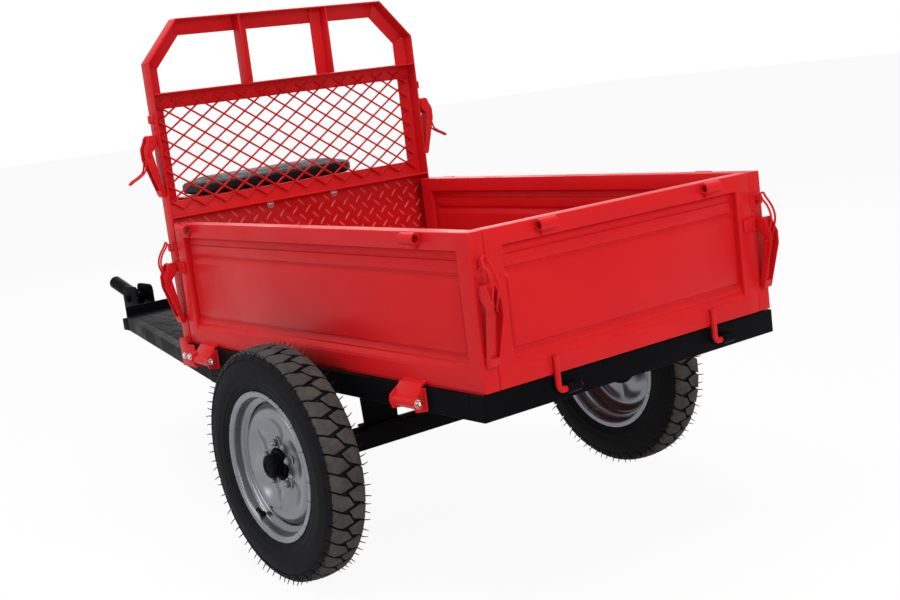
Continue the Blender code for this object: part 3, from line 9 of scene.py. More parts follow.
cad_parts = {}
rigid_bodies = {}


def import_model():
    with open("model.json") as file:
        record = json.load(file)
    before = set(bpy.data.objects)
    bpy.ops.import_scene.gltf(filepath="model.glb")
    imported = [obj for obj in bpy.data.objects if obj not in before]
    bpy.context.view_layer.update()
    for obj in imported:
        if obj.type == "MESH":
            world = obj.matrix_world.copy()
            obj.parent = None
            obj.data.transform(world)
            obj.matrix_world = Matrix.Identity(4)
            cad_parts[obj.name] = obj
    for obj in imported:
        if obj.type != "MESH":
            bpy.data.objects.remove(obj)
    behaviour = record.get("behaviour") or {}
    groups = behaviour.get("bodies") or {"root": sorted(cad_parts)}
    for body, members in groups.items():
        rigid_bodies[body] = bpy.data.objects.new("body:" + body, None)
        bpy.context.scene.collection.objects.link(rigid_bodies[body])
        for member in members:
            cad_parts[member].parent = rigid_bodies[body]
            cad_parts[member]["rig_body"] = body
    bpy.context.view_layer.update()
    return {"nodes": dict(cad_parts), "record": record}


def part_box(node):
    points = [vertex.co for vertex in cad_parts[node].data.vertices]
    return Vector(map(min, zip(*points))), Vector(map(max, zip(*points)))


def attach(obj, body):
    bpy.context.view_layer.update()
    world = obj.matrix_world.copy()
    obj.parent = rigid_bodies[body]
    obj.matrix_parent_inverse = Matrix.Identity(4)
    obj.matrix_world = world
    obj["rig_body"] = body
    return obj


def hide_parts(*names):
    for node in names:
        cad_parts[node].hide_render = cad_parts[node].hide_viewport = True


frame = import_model()
nodes = frame["nodes"]
sides = {"left": -1, "right": 1}
print("frame loaded:", len(nodes), "parts")

# the load box: its rear and front planes, and how the panels stand
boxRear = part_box("rear_cross_member")[0].y - 0.004
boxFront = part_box("front_cross_member")[1].y - 0.045
panelLow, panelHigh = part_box("tailgate")[0].z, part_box("tailgate")[1].z
panelInside = -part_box("side_panel_left")[1].x


def newMaterial(name, colour, roughness, metallic=0.0, coat=0.0, coatRoughness=0.1, sheen=0.0,
                specular=0.5):
    material = bpy.data.materials.new(name)
    material.use_nodes = True
    material.diffuse_color = (*colour, 1)
    shader = material.node_tree.nodes["Principled BSDF"]
    shader.inputs["Base Color"].default_value = (*colour, 1)
    shader.inputs["Roughness"].default_value = roughness
    shader.inputs["Metallic"].default_value = metallic
    shader.inputs["Coat Weight"].default_value = coat
    shader.inputs["Coat Roughness"].default_value = coatRoughness
    shader.inputs["Sheen Weight"].default_value = sheen
    shader.inputs["Specular IOR Level"].default_value = specular
    return material


def addNode(material, kind, **settings):
    node = material.node_tree.nodes.new(kind)
    for key, value in settings.items():
        if key in node.inputs:
            node.inputs[key].default_value = value
        else:
            setattr(node, key, value)
    return node


def joinSockets(material, start, end):
    material.node_tree.links.new(start, end)


def objectPoint(material, stretch=(1, 1, 1)):
    coordinate = addNode(material, "ShaderNodeTexCoord")
    mapping = addNode(material, "ShaderNodeMapping")
    mapping.inputs["Scale"].default_value = stretch
    joinSockets(material, coordinate.outputs["Object"], mapping.inputs["Vector"])
    return mapping.outputs["Vector"]


def noiseOf(material, point, scale, detail=3.0, rough=0.55):
    node = addNode(material, "ShaderNodeTexNoise")
    node.inputs["Scale"].default_value = scale
    node.inputs["Detail"].default_value = detail
    node.inputs["Roughness"].default_value = rough
    joinSockets(material, point, node.inputs["Vector"])
    return node.outputs["Fac"]


def rangeOf(material, value, lowIn, highIn, lowOut, highOut):
    node = addNode(material, "ShaderNodeMapRange")
    for key, number in (("From Min", lowIn), ("From Max", highIn), ("To Min", lowOut), ("To Max", highOut)):
        node.inputs[key].default_value = number
    joinSockets(material, value, node.inputs["Value"])
    return node.outputs["Result"]


def mathOf(material, operation, first, second):
    node = addNode(material, "ShaderNodeMath", operation=operation)
    for socket, value in zip(node.inputs, (first, second)):
        if isinstance(value, (int, float)):
            socket.default_value = value
        else:
            joinSockets(material, value, socket)
    return node.outputs["Value"]


def mixColours(material, factor, first, second, blend="MIX"):
    node = addNode(material, "ShaderNodeMix", data_type="RGBA", blend_type=blend)
    sockets = (node.inputs["Factor"], node.inputs[6], node.inputs[7])
    for socket, value in zip(sockets, (factor, first, second)):
        if isinstance(value, (int, float)):
            socket.default_value = value
        elif isinstance(value, tuple):
            socket.default_value = (*value, 1)
        else:
            joinSockets(material, value, socket)
    return node.outputs[2]


def bumpFrom(material, heights):
    shader = material.node_tree.nodes["Principled BSDF"]
    last = None
    for height, strength, distance in heights:
        node = addNode(material, "ShaderNodeBump")
        node.inputs["Strength"].default_value = strength
        node.inputs["Distance"].default_value = distance
        joinSockets(material, height, node.inputs["Height"])
        if last:
            joinSockets(material, last, node.inputs["Normal"])
        last = node.outputs["Normal"]
    joinSockets(material, last, shader.inputs["Normal"])


def feed(material, socketName, value):
    shader = material.node_tree.nodes["Principled BSDF"]
    joinSockets(material, value, shader.inputs[socketName])


def patchy(material, point, base, second, scale, spread=(0.35, 0.7)):
    # two tones that drift into each other over the surface
    drift = rangeOf(material, noiseOf(material, point, scale), *spread, 0, 1)
    return mixColours(material, drift, base, second)


redLook = {"colour": (0.60, 0.010, 0.013), "deep": (0.54, 0.008, 0.011), "dust": (0.56, 0.030, 0.028),
           "lighterTone": (0.66, 0.04, 0.04), "roughness": 0.34, "specular": 0.11, "peel": 420}


def makeRed(name, look):
    material = newMaterial(name, look["colour"], look["roughness"], specular=look["specular"])
    point = objectPoint(material)
    drift = patchy(material, point, look["colour"], look["deep"], 3.2)
    geometry = addNode(material, "ShaderNodeNewGeometry")
    apart = addNode(material, "ShaderNodeSeparateXYZ")
    joinSockets(material, geometry.outputs["Normal"], apart.inputs[0])
    upward = rangeOf(material, apart.outputs["Z"], 0.75, 1.0, 0, 0.35)
    specks = rangeOf(material, noiseOf(material, point, 38, 6, 0.7), 0.52, 0.75, 0, 1)
    dusty = mixColours(material, mathOf(material, "MULTIPLY", upward, specks), drift, look["dust"])
    # convex edges and the tears' raised tops turn lighter here: a painted highlight
    lighterTone = rangeOf(material, geometry.outputs["Pointiness"], 0.58, 0.75, 0, 0.5)
    feed(material, "Base Color", mixColours(material, lighterTone, dusty, look["lighterTone"]))
    streak = noiseOf(material, point, 9, 4)
    smooth, dull = look["roughness"] - 0.06, look["roughness"] + 0.10
    feed(material, "Roughness", rangeOf(material, streak, 0.3, 0.7, smooth, dull))
    bumpFrom(material, [(noiseOf(material, point, look["peel"], 1), 0.05, 0.0003)])
    return material


# the tears of the front panel take a lighter, glossier copy of the red: a painted highlight on their raised
# tops
tearHighlightLook = {"colour": (0.72, 0.12, 0.12), "deep": (0.62, 0.05, 0.055), "dust": (0.76, 0.22, 0.21),
            "lighterTone": (0.85, 0.42, 0.40), "roughness": 0.26, "specular": 0.55, "peel": 420}
blackLook = {"colour": (0.003, 0.003, 0.004), "dust": (0.012, 0.011, 0.011), "roughness": 0.42,
             "specular": 0.02}


def makeBlack():
    look = blackLook
    material = newMaterial("blackPaint", look["colour"], look["roughness"], specular=look["specular"])
    point = objectPoint(material)
    geometry = addNode(material, "ShaderNodeNewGeometry")
    apart = addNode(material, "ShaderNodeSeparateXYZ")
    joinSockets(material, geometry.outputs["Normal"], apart.inputs[0])
    upward = rangeOf(material, apart.outputs["Z"], 0.4, 1.0, 0.12, 0.8)
    cloud = rangeOf(material, noiseOf(material, point, 11, 6, 0.65), 0.45, 0.75, 0, 1)
    feed(material, "Base Color",
         mixColours(material, mathOf(material, "MULTIPLY", upward, cloud), look["colour"], look["dust"]))
    feed(material, "Roughness", rangeOf(material, cloud, 0, 1, look["roughness"], look["roughness"] + 0.22))
    bumpFrom(material, [(noiseOf(material, point, 520, 2), 0.10, 0.0004),
                        (noiseOf(material, point, 22, 3), 0.06, 0.0006)])
    return material


silverLook = {"colour": (0.215, 0.222, 0.243), "deep": (0.165, 0.172, 0.192), "flake": (0.34, 0.35, 0.37),
              "roughness": 0.30}


def makeSilver():
    look = silverLook
    material = newMaterial("silverPaint", look["colour"], look["roughness"], metallic=0.85, specular=0.3)
    point = objectPoint(material)
    flake = addNode(material, "ShaderNodeTexVoronoi")
    flake.inputs["Scale"].default_value = 1400
    joinSockets(material, point, flake.inputs["Vector"])
    apart = addNode(material, "ShaderNodeSeparateColor")
    joinSockets(material, flake.outputs["Color"], apart.inputs[0])
    drift = patchy(material, point, look["colour"], look["deep"], 9)
    feed(material, "Base Color", mixColours(material, rangeOf(material, apart.outputs[0], 0, 1, 0, 0.22),
                                            drift, look["flake"]))
    feed(material, "Roughness", rangeOf(material, noiseOf(material, point, 16, 5), 0.3, 0.7, 0.23, 0.36))
    bumpFrom(material, [(noiseOf(material, point, 300, 2), 0.05, 0.0004)])
    return material


rubberLook = {"colour": (0.0050, 0.0052, 0.0064), "lighterTone": (0.0110, 0.0112, 0.0130), "roughness": 0.62}


def makeRubber(name, colour, lighterTone, roughness):
    material = newMaterial(name, colour, roughness, specular=0.05)
    point = objectPoint(material)
    cloud = rangeOf(material, noiseOf(material, point, 24, 6, 0.7), 0.35, 0.75, 0, 1)
    feed(material, "Base Color", mixColours(material, cloud, colour, lighterTone))
    feed(material, "Roughness", rangeOf(material, cloud, 0, 1, roughness - 0.08, roughness + 0.14))
    bumpFrom(material, [(noiseOf(material, point, 700, 2), 0.16, 0.0005),
                        (noiseOf(material, point, 90, 3), 0.10, 0.001)])
    return material


def makeZinc():
    material = newMaterial("zincPlate", (0.56, 0.56, 0.54), 0.3, metallic=1.0)
    point = objectPoint(material)
    crystal = addNode(material, "ShaderNodeTexVoronoi")
    crystal.inputs["Scale"].default_value = 260
    joinSockets(material, point, crystal.inputs["Vector"])
    apart = addNode(material, "ShaderNodeSeparateColor")
    joinSockets(material, crystal.outputs["Color"], apart.inputs[0])
    dark, light = (0.50, 0.50, 0.49), (0.66, 0.66, 0.62)
    feed(material, "Base Color", mixColours(material, apart.outputs[0], dark, light))
    feed(material, "Roughness", rangeOf(material, noiseOf(material, point, 60, 4), 0.3, 0.7, 0.22, 0.42))
    bumpFrom(material, [(noiseOf(material, point, 480, 2), 0.06, 0.0003)])
    return material


vinylLook = {"colour": (0.0035, 0.0035, 0.0040), "light": (0.0065, 0.0068, 0.0070), "grain": 520}


def makeVinyl():
    look = vinylLook
    material = newMaterial("seatVinyl", look["colour"], 0.5, specular=0.12)
    point = objectPoint(material)
    grain = addNode(material, "ShaderNodeTexVoronoi", feature="DISTANCE_TO_EDGE")
    grain.inputs["Scale"].default_value = look["grain"]
    joinSockets(material, point, grain.inputs["Vector"])
    crease = rangeOf(material, grain.outputs["Distance"], 0.0, 0.18, 0, 1)
    feed(material, "Base Color", mixColours(material, crease, look["colour"], look["light"]))
    feed(material, "Roughness", rangeOf(material, noiseOf(material, point, 30, 4), 0.3, 0.7, 0.42, 0.62))
    bumpFrom(material, [(crease, 0.35, 0.0004), (noiseOf(material, point, 45, 3), 0.12, 0.001)])
    return material


red = makeRed("redPaint", redLook)
black = makeBlack()
silver = makeSilver()
rubber = makeRubber("tyreRubber", **rubberLook)
zinc = makeZinc()
vinyl = makeVinyl()
finishOf = {"red_paint": red, "black_paint": black, "silver_paint": silver, "tyre": rubber, "zinc": zinc,
            "seat_vinyl": vinyl}
print("finishes made")


def shownMesh(name, bm, finishes, sharp=32):
    bmesh.ops.recalc_face_normals(bm, faces=bm.faces)
    for face in bm.faces:
        face.smooth = True
    for edge in bm.edges:
        edge.smooth = len(edge.link_faces) == 2 and edge.calc_face_angle(0) < math.radians(sharp)
    mesh = bpy.data.meshes.new(name)
    bm.to_mesh(mesh)
    bm.free()
    for finish in finishes:
        mesh.materials.append(finish)
    piece = bpy.data.objects.new(name, mesh)
    bpy.context.scene.collection.objects.link(piece)
    return piece


def settle(piece, body, slotName, *replaced):
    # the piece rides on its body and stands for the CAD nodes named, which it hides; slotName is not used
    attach(piece, body)
    if replaced:
        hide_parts(*replaced)
    return piece


def bodyOf(node):
    return nodes[node]["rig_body"]


def copyOf(node, flatten=0.6):
    # the CAD node's surface, merged, with its flat faces joined
    bm = bmesh.new()
    bm.from_mesh(nodes[node].data)
    for face in bm.faces:
        face.material_index = 0
    bmesh.ops.remove_doubles(bm, verts=bm.verts, dist=0.00002)
    bmesh.ops.dissolve_limit(bm, angle_limit=math.radians(flatten), verts=bm.verts, edges=bm.edges)
    return bm


def roundEdges(bm, width, segments=2, angle=40, shortest=2.2):
    # a small bevel on the sharp edges that are long enough to carry it
    chosen = [e for e in bm.edges if len(e.link_faces) == 2 and e.calc_face_angle(0) > math.radians(angle)
              and e.calc_length() > shortest * width]
    if chosen:
        bmesh.ops.bevel(bm, geom=chosen, offset=width, offset_type="OFFSET", affect="EDGES",
                        segments=segments, profile=0.5, clamp_overlap=True, material=-1)
    return bm


def addBox(bm, lowCorner, highCorner, turn=None):
    size = Vector(highCorner) - Vector(lowCorner)
    place = Matrix.Translation((Vector(highCorner) + Vector(lowCorner)) / 2)
    place = (turn or Matrix()) @ place @ Matrix.Diagonal((*size, 1))
    return bmesh.ops.create_cube(bm, size=1, matrix=place)["verts"]


def facing(axis):
    # turns a shape that stands on Z so that it points along the axis
    return Vector((0, 0, 1)).rotation_difference(Vector(axis)).to_matrix().to_4x4()


def addRound(bm, centre, axis, radius, length, segments=24, radius2=None):
    # a bar whose middle is at the centre
    place = Matrix.Translation(centre) @ facing(axis)
    made = bmesh.ops.create_cone(bm, cap_ends=True, segments=segments, radius1=radius,
                                 radius2=radius if radius2 is None else radius2, depth=length, matrix=place)
    return made["verts"]


def addSpun(bm, profile, centre, axis, steps=48):
    # (place along the axis, radius) points turned a full turn
    turn = Matrix.Translation(centre) @ facing(axis)
    points = [bm.verts.new(turn @ Vector((radius, 0, place))) for place, radius in profile]
    edges = [bm.edges.new(pair) for pair in zip(points, points[1:])]
    bmesh.ops.spin(bm, geom=points + edges, cent=centre, axis=turn.to_3x3() @ Vector((0, 0, 1)),
                   dvec=(0, 0, 0), angle=2 * math.pi, steps=steps, use_merge=True, use_duplicate=False)
    bmesh.ops.remove_doubles(bm, verts=bm.verts, dist=0.000005)


def roundAxle(bm, geometry, steps, angle=2 * math.pi, copies=False):
    # turns a wheel's outline about X at the origin, or repeats a piece right round it
    bmesh.ops.spin(bm, geom=geometry, cent=(0, 0, 0), axis=(1, 0, 0), dvec=(0, 0, 0), angle=angle,
                   steps=steps, use_merge=not copies, use_duplicate=copies)


def tubeProfile(start, end, bore, outer, mouth, ease):
    # a tube's wall, its bore widened by mouth at the ends and its outer edges eased
    return [(start, bore + mouth), (start, outer - ease), (start + ease, outer), (end - ease, outer),
            (end, outer - ease), (end, bore + mouth), (end - mouth, bore), (start + mouth, bore),
            (start, bore + mouth)]


def addOutline(bm, outline, place, depth):
    # a flat outline drawn on X and Y, laid by the matrix and extruded along its Z
    face = bm.faces.new([bm.verts.new(place @ Vector((x, y, 0))) for x, y in outline])
    made = bmesh.ops.extrude_face_region(bm, geom=[face])
    moved = [item for item in made["geom"] if isinstance(item, bmesh.types.BMVert)]
    bmesh.ops.translate(bm, verts=moved, vec=place.to_3x3() @ Vector((0, 0, depth)))
    return moved


def hexNut(bm, centre, axis, radius, height, domed=True):
    # a nut with chamfered corners on a thin washer, its foot at the centre
    axis = Vector(axis)
    addRound(bm, Vector(centre) + axis * height * 0.06, axis, radius * 1.32, height * 0.12, 24)
    nut = bmesh.new()
    addRound(nut, Vector(centre) + axis * height * 0.55, axis, radius, height * 0.88, 6)
    roundEdges(nut, radius * 0.1, 2)
    mergeInto(bm, nut)
    if domed:
        profile = [(height * step, radius * 0.62 * math.sqrt(max(0, 1 - step * step))) for step in
                   (0.0, 0.25, 0.5, 0.7, 0.85, 0.95, 1.0)]
        addSpun(bm, [(height * 0.95 + place * 0.6, size) for place, size in profile], centre, axis, 20)
    else:
        addRound(bm, Vector(centre) + axis * height * 1.15, axis, radius * 0.46, height * 0.4, 16)


def mergeInto(bm, other):
    # adds another bmesh's faces and frees it
    spare = bpy.data.meshes.new("spare")
    other.to_mesh(spare)
    other.free()
    bm.from_mesh(spare)
    bpy.data.meshes.remove(spare)


# the photograph's camera, with the eye measured from the tailgate's outer face
cameraSet = {"eye": (-1.9138, -1.9747, 1.0630), "yaw": -36.385, "pitch": -9.493, "roll": -7.085,
             "focalPixels": 1382.3, "imageWidth": 900}


def makeCamera():
    yaw, pitch, roll = (math.radians(cameraSet[key]) for key in ("yaw", "pitch", "roll"))
    ahead = Vector((-math.sin(yaw) * math.cos(pitch), math.cos(yaw) * math.cos(pitch), math.sin(pitch)))
    across = ahead.cross(Vector((0, 0, 1))).normalized()
    upward = across.cross(ahead)
    acrossTurned = across * math.cos(roll) + upward * math.sin(roll)
    upTurned = upward * math.cos(roll) - across * math.sin(roll)
    data = bpy.data.cameras.new("photoCamera")
    data.sensor_width = 36
    data.lens = cameraSet["focalPixels"] / cameraSet["imageWidth"] * data.sensor_width
    data.clip_start, data.clip_end = 0.05, 60
    camera = bpy.data.objects.new("photoCamera", data)
    bpy.context.scene.collection.objects.link(camera)
    turn = Matrix((acrossTurned, upTurned, -ahead)).transposed().to_4x4()
    eye = Vector(cameraSet["eye"]) + Vector((0, boxRear, 0))
    camera.matrix_world = Matrix.Translation(eye) @ turn
    bpy.context.scene.camera = camera


studio = {"floorColour": (0.86, 0.86, 0.86), "floorSize": 30, "floorWhite": 0.93, "skyStrength": 0.34,
          "lamps": {"overheadLamp": ((-0.6, -0.9, 4.2), (0, 0, 0.5), 3.2, 118),
                    "rearLamp": ((-0.6, -5.0, 2.2), (0, -0.6, 0.5), 2.4, 88),
                    "leftLamp": ((-4.6, 0.2, 1.9), (0, 0, 0.6), 2.0, 46),
                    "frontLamp": ((2.6, 4.2, 3.0), (0, 0, 0.6), 2.8, 50)}}


def seenDirectly(tree):
    # 1 for rays from the camera and for what metal and glass show
    path = tree.nodes.new("ShaderNodeLightPath")
    value = path.outputs["Is Camera Ray"]
    for other in ("Is Glossy Ray", "Is Transmission Ray"):
        either = tree.nodes.new("ShaderNodeMath")
        either.operation = "MAXIMUM"
        tree.links.new(value, either.inputs[0])
        tree.links.new(path.outputs[other], either.inputs[1])
        value = either.outputs[0]
    return value


def makeStudio():
    scene = bpy.context.scene
    scene.view_settings.view_transform = "Standard"
    world = bpy.data.worlds.new("studioWorld")
    scene.world = world
    world.use_nodes = True
    tree = world.node_tree
    tree.nodes.clear()
    soft = tree.nodes.new("ShaderNodeBackground")
    soft.inputs["Color"].default_value = (1, 1, 1, 1)
    soft.inputs["Strength"].default_value = studio["skyStrength"]
    white = tree.nodes.new("ShaderNodeBackground")
    white.inputs["Color"].default_value = (1, 1, 1, 1)
    pick = tree.nodes.new("ShaderNodeMixShader")
    out = tree.nodes.new("ShaderNodeOutputWorld")
    tree.links.new(seenDirectly(tree), pick.inputs[0])
    tree.links.new(soft.outputs[0], pick.inputs[1])
    tree.links.new(white.outputs[0], pick.inputs[2])
    tree.links.new(pick.outputs[0], out.inputs[0])
    for name, (place, aim, size, power) in studio["lamps"].items():
        data = bpy.data.lights.new(name, "AREA")
        data.size = size
        data.energy = power
        lamp = bpy.data.objects.new(name, data)
        scene.collection.objects.link(lamp)
        lamp.location = place
        lamp.rotation_euler = (Vector(aim) - Vector(place)).to_track_quat("-Z", "Y").to_euler()
    makeFloor()


def makeFloor():
    # seen straight on, the floor is white where nothing shades it
    bm = bmesh.new()
    bmesh.ops.create_grid(bm, x_segments=1, y_segments=1, size=studio["floorSize"])
    floor = shownMesh("studioFloor", bm, [])
    material = newMaterial("floorPaper", studio["floorColour"], 0.9)
    point = objectPoint(material)
    feed(material, "Roughness", rangeOf(material, noiseOf(material, point, 4), 0, 1, 0.85, 0.95))
    tree = material.node_tree
    glow = tree.nodes.new("ShaderNodeEmission")
    glow.inputs["Color"].default_value = (1, 1, 1, 1)
    pick = tree.nodes.new("ShaderNodeMixShader")
    share = tree.nodes.new("ShaderNodeMath")
    share.operation = "MULTIPLY"
    share.inputs[1].default_value = studio["floorWhite"]
    out = tree.nodes["Material Output"]
    tree.links.new(seenDirectly(tree), share.inputs[0])
    tree.links.new(share.outputs[0], pick.inputs[0])
    tree.links.new(tree.nodes["Principled BSDF"].outputs[0], pick.inputs[1])
    tree.links.new(glow.outputs[0], pick.inputs[2])
    tree.links.new(pick.outputs[0], out.inputs["Surface"])
    floor.data.materials.append(material)


makeCamera()
makeStudio()
print("camera, lamps and floor made")


# places are outwards from the wheel's middle plane, with the radius second
tyreSet = {"blocks": 40, "treadDepth": 0.0075, "shoulder": 0.0405, "hairs": 76, "hairLength": 0.0150,
           "hairWidth": 0.0031, "beadHairs": 20, "bead": 0.1576, "steps": 120}
# one block of the tread: (distance round the tyre, distance from the middle line)
blockCorners = [(0.020, -0.007), (0.029, 0.023), (0.019, 0.0405), (-0.019, 0.0405), (-0.009, 0.023),
                (-0.001, 0.005)]
blockLag = 0.009  # the other row is the same block turned half round and moved on by this


def crownRadius(place, outer):
    # the tread's outer surface: a flat crown that falls away past its edge
    across = abs(place)
    edge = 0.033
    if across < edge:
        return outer - 0.0038 * (across / edge) ** 2
    return outer - 0.0038 - (across - edge) * 0.75


def onTyre(point, outer):
    # (distance round, place across, height over the groove floor) to the tyre at the origin
    along, across, rise = point
    radius = crownRadius(across, outer) - tyreSet["treadDepth"] + rise
    turn = along / outer
    return Vector((across, radius * math.sin(turn), radius * math.cos(turn)))


def treadBlock():
    depth = tyreSet["treadDepth"]
    bury = 0.0012
    bm = bmesh.new()
    face = bm.faces.new([bm.verts.new((x, y, -bury)) for x, y in blockCorners])
    made = bmesh.ops.extrude_face_region(bm, geom=[face])
    top = [item for item in made["geom"] if isinstance(item, bmesh.types.BMVert)]
    bmesh.ops.translate(bm, verts=top, vec=(0, 0, depth + bury))
    middle = sum((v.co for v in top), Vector()) / len(top)
    for vert in top:
        vert.co.x = middle.x + (vert.co.x - middle.x) * 0.96
        vert.co.y = middle.y + (vert.co.y - middle.y) * 0.97
    for vert in bm.verts:  # the foot runs out into the sidewall
        if vert not in top and vert.co.y > tyreSet["shoulder"] - 0.001:
            vert.co.y += 0.0052
            vert.co.z += 0.0005
    cap = [f for f in bm.faces if all(v in top for v in f.verts)]
    edges = list(cap[0].edges) + [e for e in bm.edges if (e.verts[0] in top) != (e.verts[1] in top)]
    bmesh.ops.bevel(bm, geom=edges, offset=0.0016, offset_type="OFFSET", affect="EDGES", segments=2,
                    profile=0.5, clamp_overlap=True, material=-1)
    for cut in (0.004, 0.014, 0.024, 0.033):
        bmesh.ops.bisect_plane(bm, geom=bm.verts[:] + bm.edges[:] + bm.faces[:], dist=0.000001,
                               plane_co=(0, cut, 0), plane_no=(0, 1, 0))
    highest = max(v.co.z for v in bm.verts)
    for face in bm.faces:
        face.material_index = 1 if all(v.co.z > highest - 0.0024 for v in face.verts) else 0
    return bm


def blockRow(outer, turned):
    # the block repeated right round the tyre, on one side of the middle line
    bm = treadBlock()
    for vert in bm.verts:
        along, across, rise = vert.co
        if turned:
            along, across = blockLag - along, -across
        vert.co = onTyre((along, across, rise), outer)
    count = tyreSet["blocks"]
    roundAxle(bm, bm.verts[:] + bm.edges[:] + bm.faces[:], count - 1, 2 * math.pi * (count - 1) / count,
              copies=True)
    return bm


def hairAt(bm, root, direction, length, width, bend):
    # a thin tapered spew of rubber that droops to one side
    side = direction.cross(Vector((0.3, 0.9, 0.1))).normalized()
    other = direction.cross(side)
    rings = []
    for share, size in ((0, 1.0), (0.5, 0.85), (1, 0.5)):
        middle = root + direction * length * share + bend * length * share * share
        rings.append([bm.verts.new(middle + (side * x + other * y) * width * size / 2)
                      for x, y in ((1, 0), (-0.5, 0.87), (-0.5, -0.87))])
    for first, second in zip(rings, rings[1:]):
        for i in range(3):
            bm.faces.new((first[i], first[i - 1], second[i - 1], second[i]))
    bm.faces.new(rings[0])
    bm.faces.new(list(reversed(rings[-1])))


# the sidewall, as steps out from the tread's shoulder and then in from the widest place, each with its drop
# below the tyre's outside
shoulderSteps = [(0.0024, 0.0195), (0.0034, 0.0205), (0.0046, 0.0260), (0.0052, 0.0268), (0.0062, 0.0330)]
wallSteps = [(0.0012, 0.0420), (0.0002, 0.0495), (0.0003, 0.0560), (0.0012, 0.0640), (0.0027, 0.0710),
             (0.0024, 0.0722), (0.0036, 0.0760), (0.0046, 0.0772), (0.0060, 0.0815), (0.0062, 0.0835),
             (0.0080, 0.0865), (0.0082, 0.0900), (0.0098, 0.0918)]


def tyreCarcass(outer, half):
    floor = outer - tyreSet["treadDepth"]
    edge, bead = tyreSet["shoulder"], tyreSet["bead"]
    side = [(0, floor), (0.012, floor - 0.0005), (0.024, floor - 0.002), (0.033, floor - 0.0038),
            (edge - 0.001, floor - 0.0095)]
    side += [(edge + out, outer - drop) for out, drop in shoulderSteps]
    side += [(half - step, outer - drop) for step, drop in wallSteps]
    side += [(half - 0.0112, bead + 0.004), (half - 0.0112, bead)]
    back = [(-place, radius) for place, radius in reversed(side)][:-1]
    return back + side + [(half - 0.02, bead + 0.002), (-half + 0.02, bead + 0.002), back[0]]


def makeTyre(side, outward):
    lowCorner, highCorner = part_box("tyre_" + side)
    centre = (lowCorner + highCorner) / 2
    outer = (highCorner.z - lowCorner.z) / 2
    half = (highCorner.x - lowCorner.x) / 2
    bm = bmesh.new()
    points = [bm.verts.new((place, 0, radius)) for place, radius in tyreCarcass(outer, half)[:-1]]
    edges = [bm.edges.new(pair) for pair in zip(points, points[1:] + points[:1])]
    roundAxle(bm, points + edges, tyreSet["steps"])
    for turned in (False, True):
        mergeInto(bm, blockRow(outer, turned))
    chance = random.Random(41 if outward < 0 else 43)
    for face in (-1, 1):
        for step in range(tyreSet["hairs"]):
            turn = 2 * math.pi * (step + chance.uniform(-0.18, 0.18)) / tyreSet["hairs"]
            radial = Vector((0, math.sin(turn), math.cos(turn)))
            around = Vector((0, math.cos(turn), -math.sin(turn)))
            root = Vector((face * 0.0395, 0, 0)) + radial * (outer - 0.0115)
            lean = radial * 0.80 + Vector((face * 0.62, 0, 0)) + around * chance.uniform(-0.18, 0.18)
            length = tyreSet["hairLength"] * chance.uniform(0.75, 1.08)
            hairAt(bm, root, lean.normalized(), length, tyreSet["hairWidth"],
                   around * chance.uniform(-0.12, 0.35))
        for step in range(tyreSet["beadHairs"]):
            turn = 2 * math.pi * (step + chance.uniform(-0.2, 0.2)) / tyreSet["beadHairs"]
            radial = Vector((0, math.sin(turn), math.cos(turn)))
            around = Vector((0, math.cos(turn), -math.sin(turn)))
            root = Vector((face * (half - 0.0072), 0, 0)) + radial * (outer - 0.0838)
            hairAt(bm, root, (Vector((face * 0.55, 0, 0)) - radial * 0.8).normalized(),
                   tyreSet["hairLength"] * 0.9, tyreSet["hairWidth"] * 0.6, around * 0.25)
    bmesh.ops.translate(bm, verts=bm.verts, vec=centre)
    piece = shownMesh("tyreWithTread_" + side, bm, [rubber, treadRubber], 34)
    settle(piece, "wheel_" + side, "tyre", "tyre_" + side)


treadRubber = makeRubber("dustyTread", (0.040, 0.036, 0.034), (0.088, 0.079, 0.073), 0.82)
for side, outward in sides.items():
    makeTyre(side, outward)
print("tyres made")


# (place, radius) points of the rim's open side, from its lip down to the well, and of the disc from
# there down to the hub
rimEdge = [(0.0388, 0.1688), (0.0400, 0.1692), (0.0411, 0.1687), (0.0415, 0.1672), (0.0414, 0.1650),
           (0.0411, 0.1610), (0.0404, 0.1578), (0.0388, 0.1555), (0.0362, 0.1545), (0.0320, 0.1541),
           (0.0240, 0.1536), (0.0195, 0.1532), (0.0170, 0.1518), (0.0150, 0.1485), (0.0132, 0.1430),
           (0.0120, 0.1398), (0.0100, 0.1384), (0.0060, 0.1381)]
discEdge = [(0.0040, 0.1379), (0.0062, 0.1376), (0.0082, 0.1362), (0.0115, 0.1330), (0.0165, 0.1285),
            (0.0200, 0.1245), (0.0216, 0.1205), (0.0220, 0.1160), (0.0217, 0.1105), (0.0208, 0.1060),
            (0.0190, 0.1010), (0.0166, 0.0950), (0.0146, 0.0890), (0.0132, 0.0830), (0.0124, 0.0770),
            (0.0121, 0.0700), (0.0121, 0.0600), (0.0121, 0.0500), (0.0121, 0.0375)]
rimSet = {"steps": 180, "sheet": 0.0027, "lobes": 5, "lobeDepth": 0.0130, "lobeRange": (0.056, 0.110),
          "nutCircle": 0.049, "valveTurn": 146.0, "valveRadius": 0.1525, "valvePlace": 0.026,
          "valveLength": 0.030}


def spunSheet(profile, outward, steps):
    # an open profile turned about X at the origin, still without a wall
    bm = bmesh.new()
    points = [bm.verts.new((place * outward, 0, radius)) for place, radius in profile]
    edges = [bm.edges.new(pair) for pair in zip(points, points[1:])]
    roundAxle(bm, points + edges, steps)
    return bm


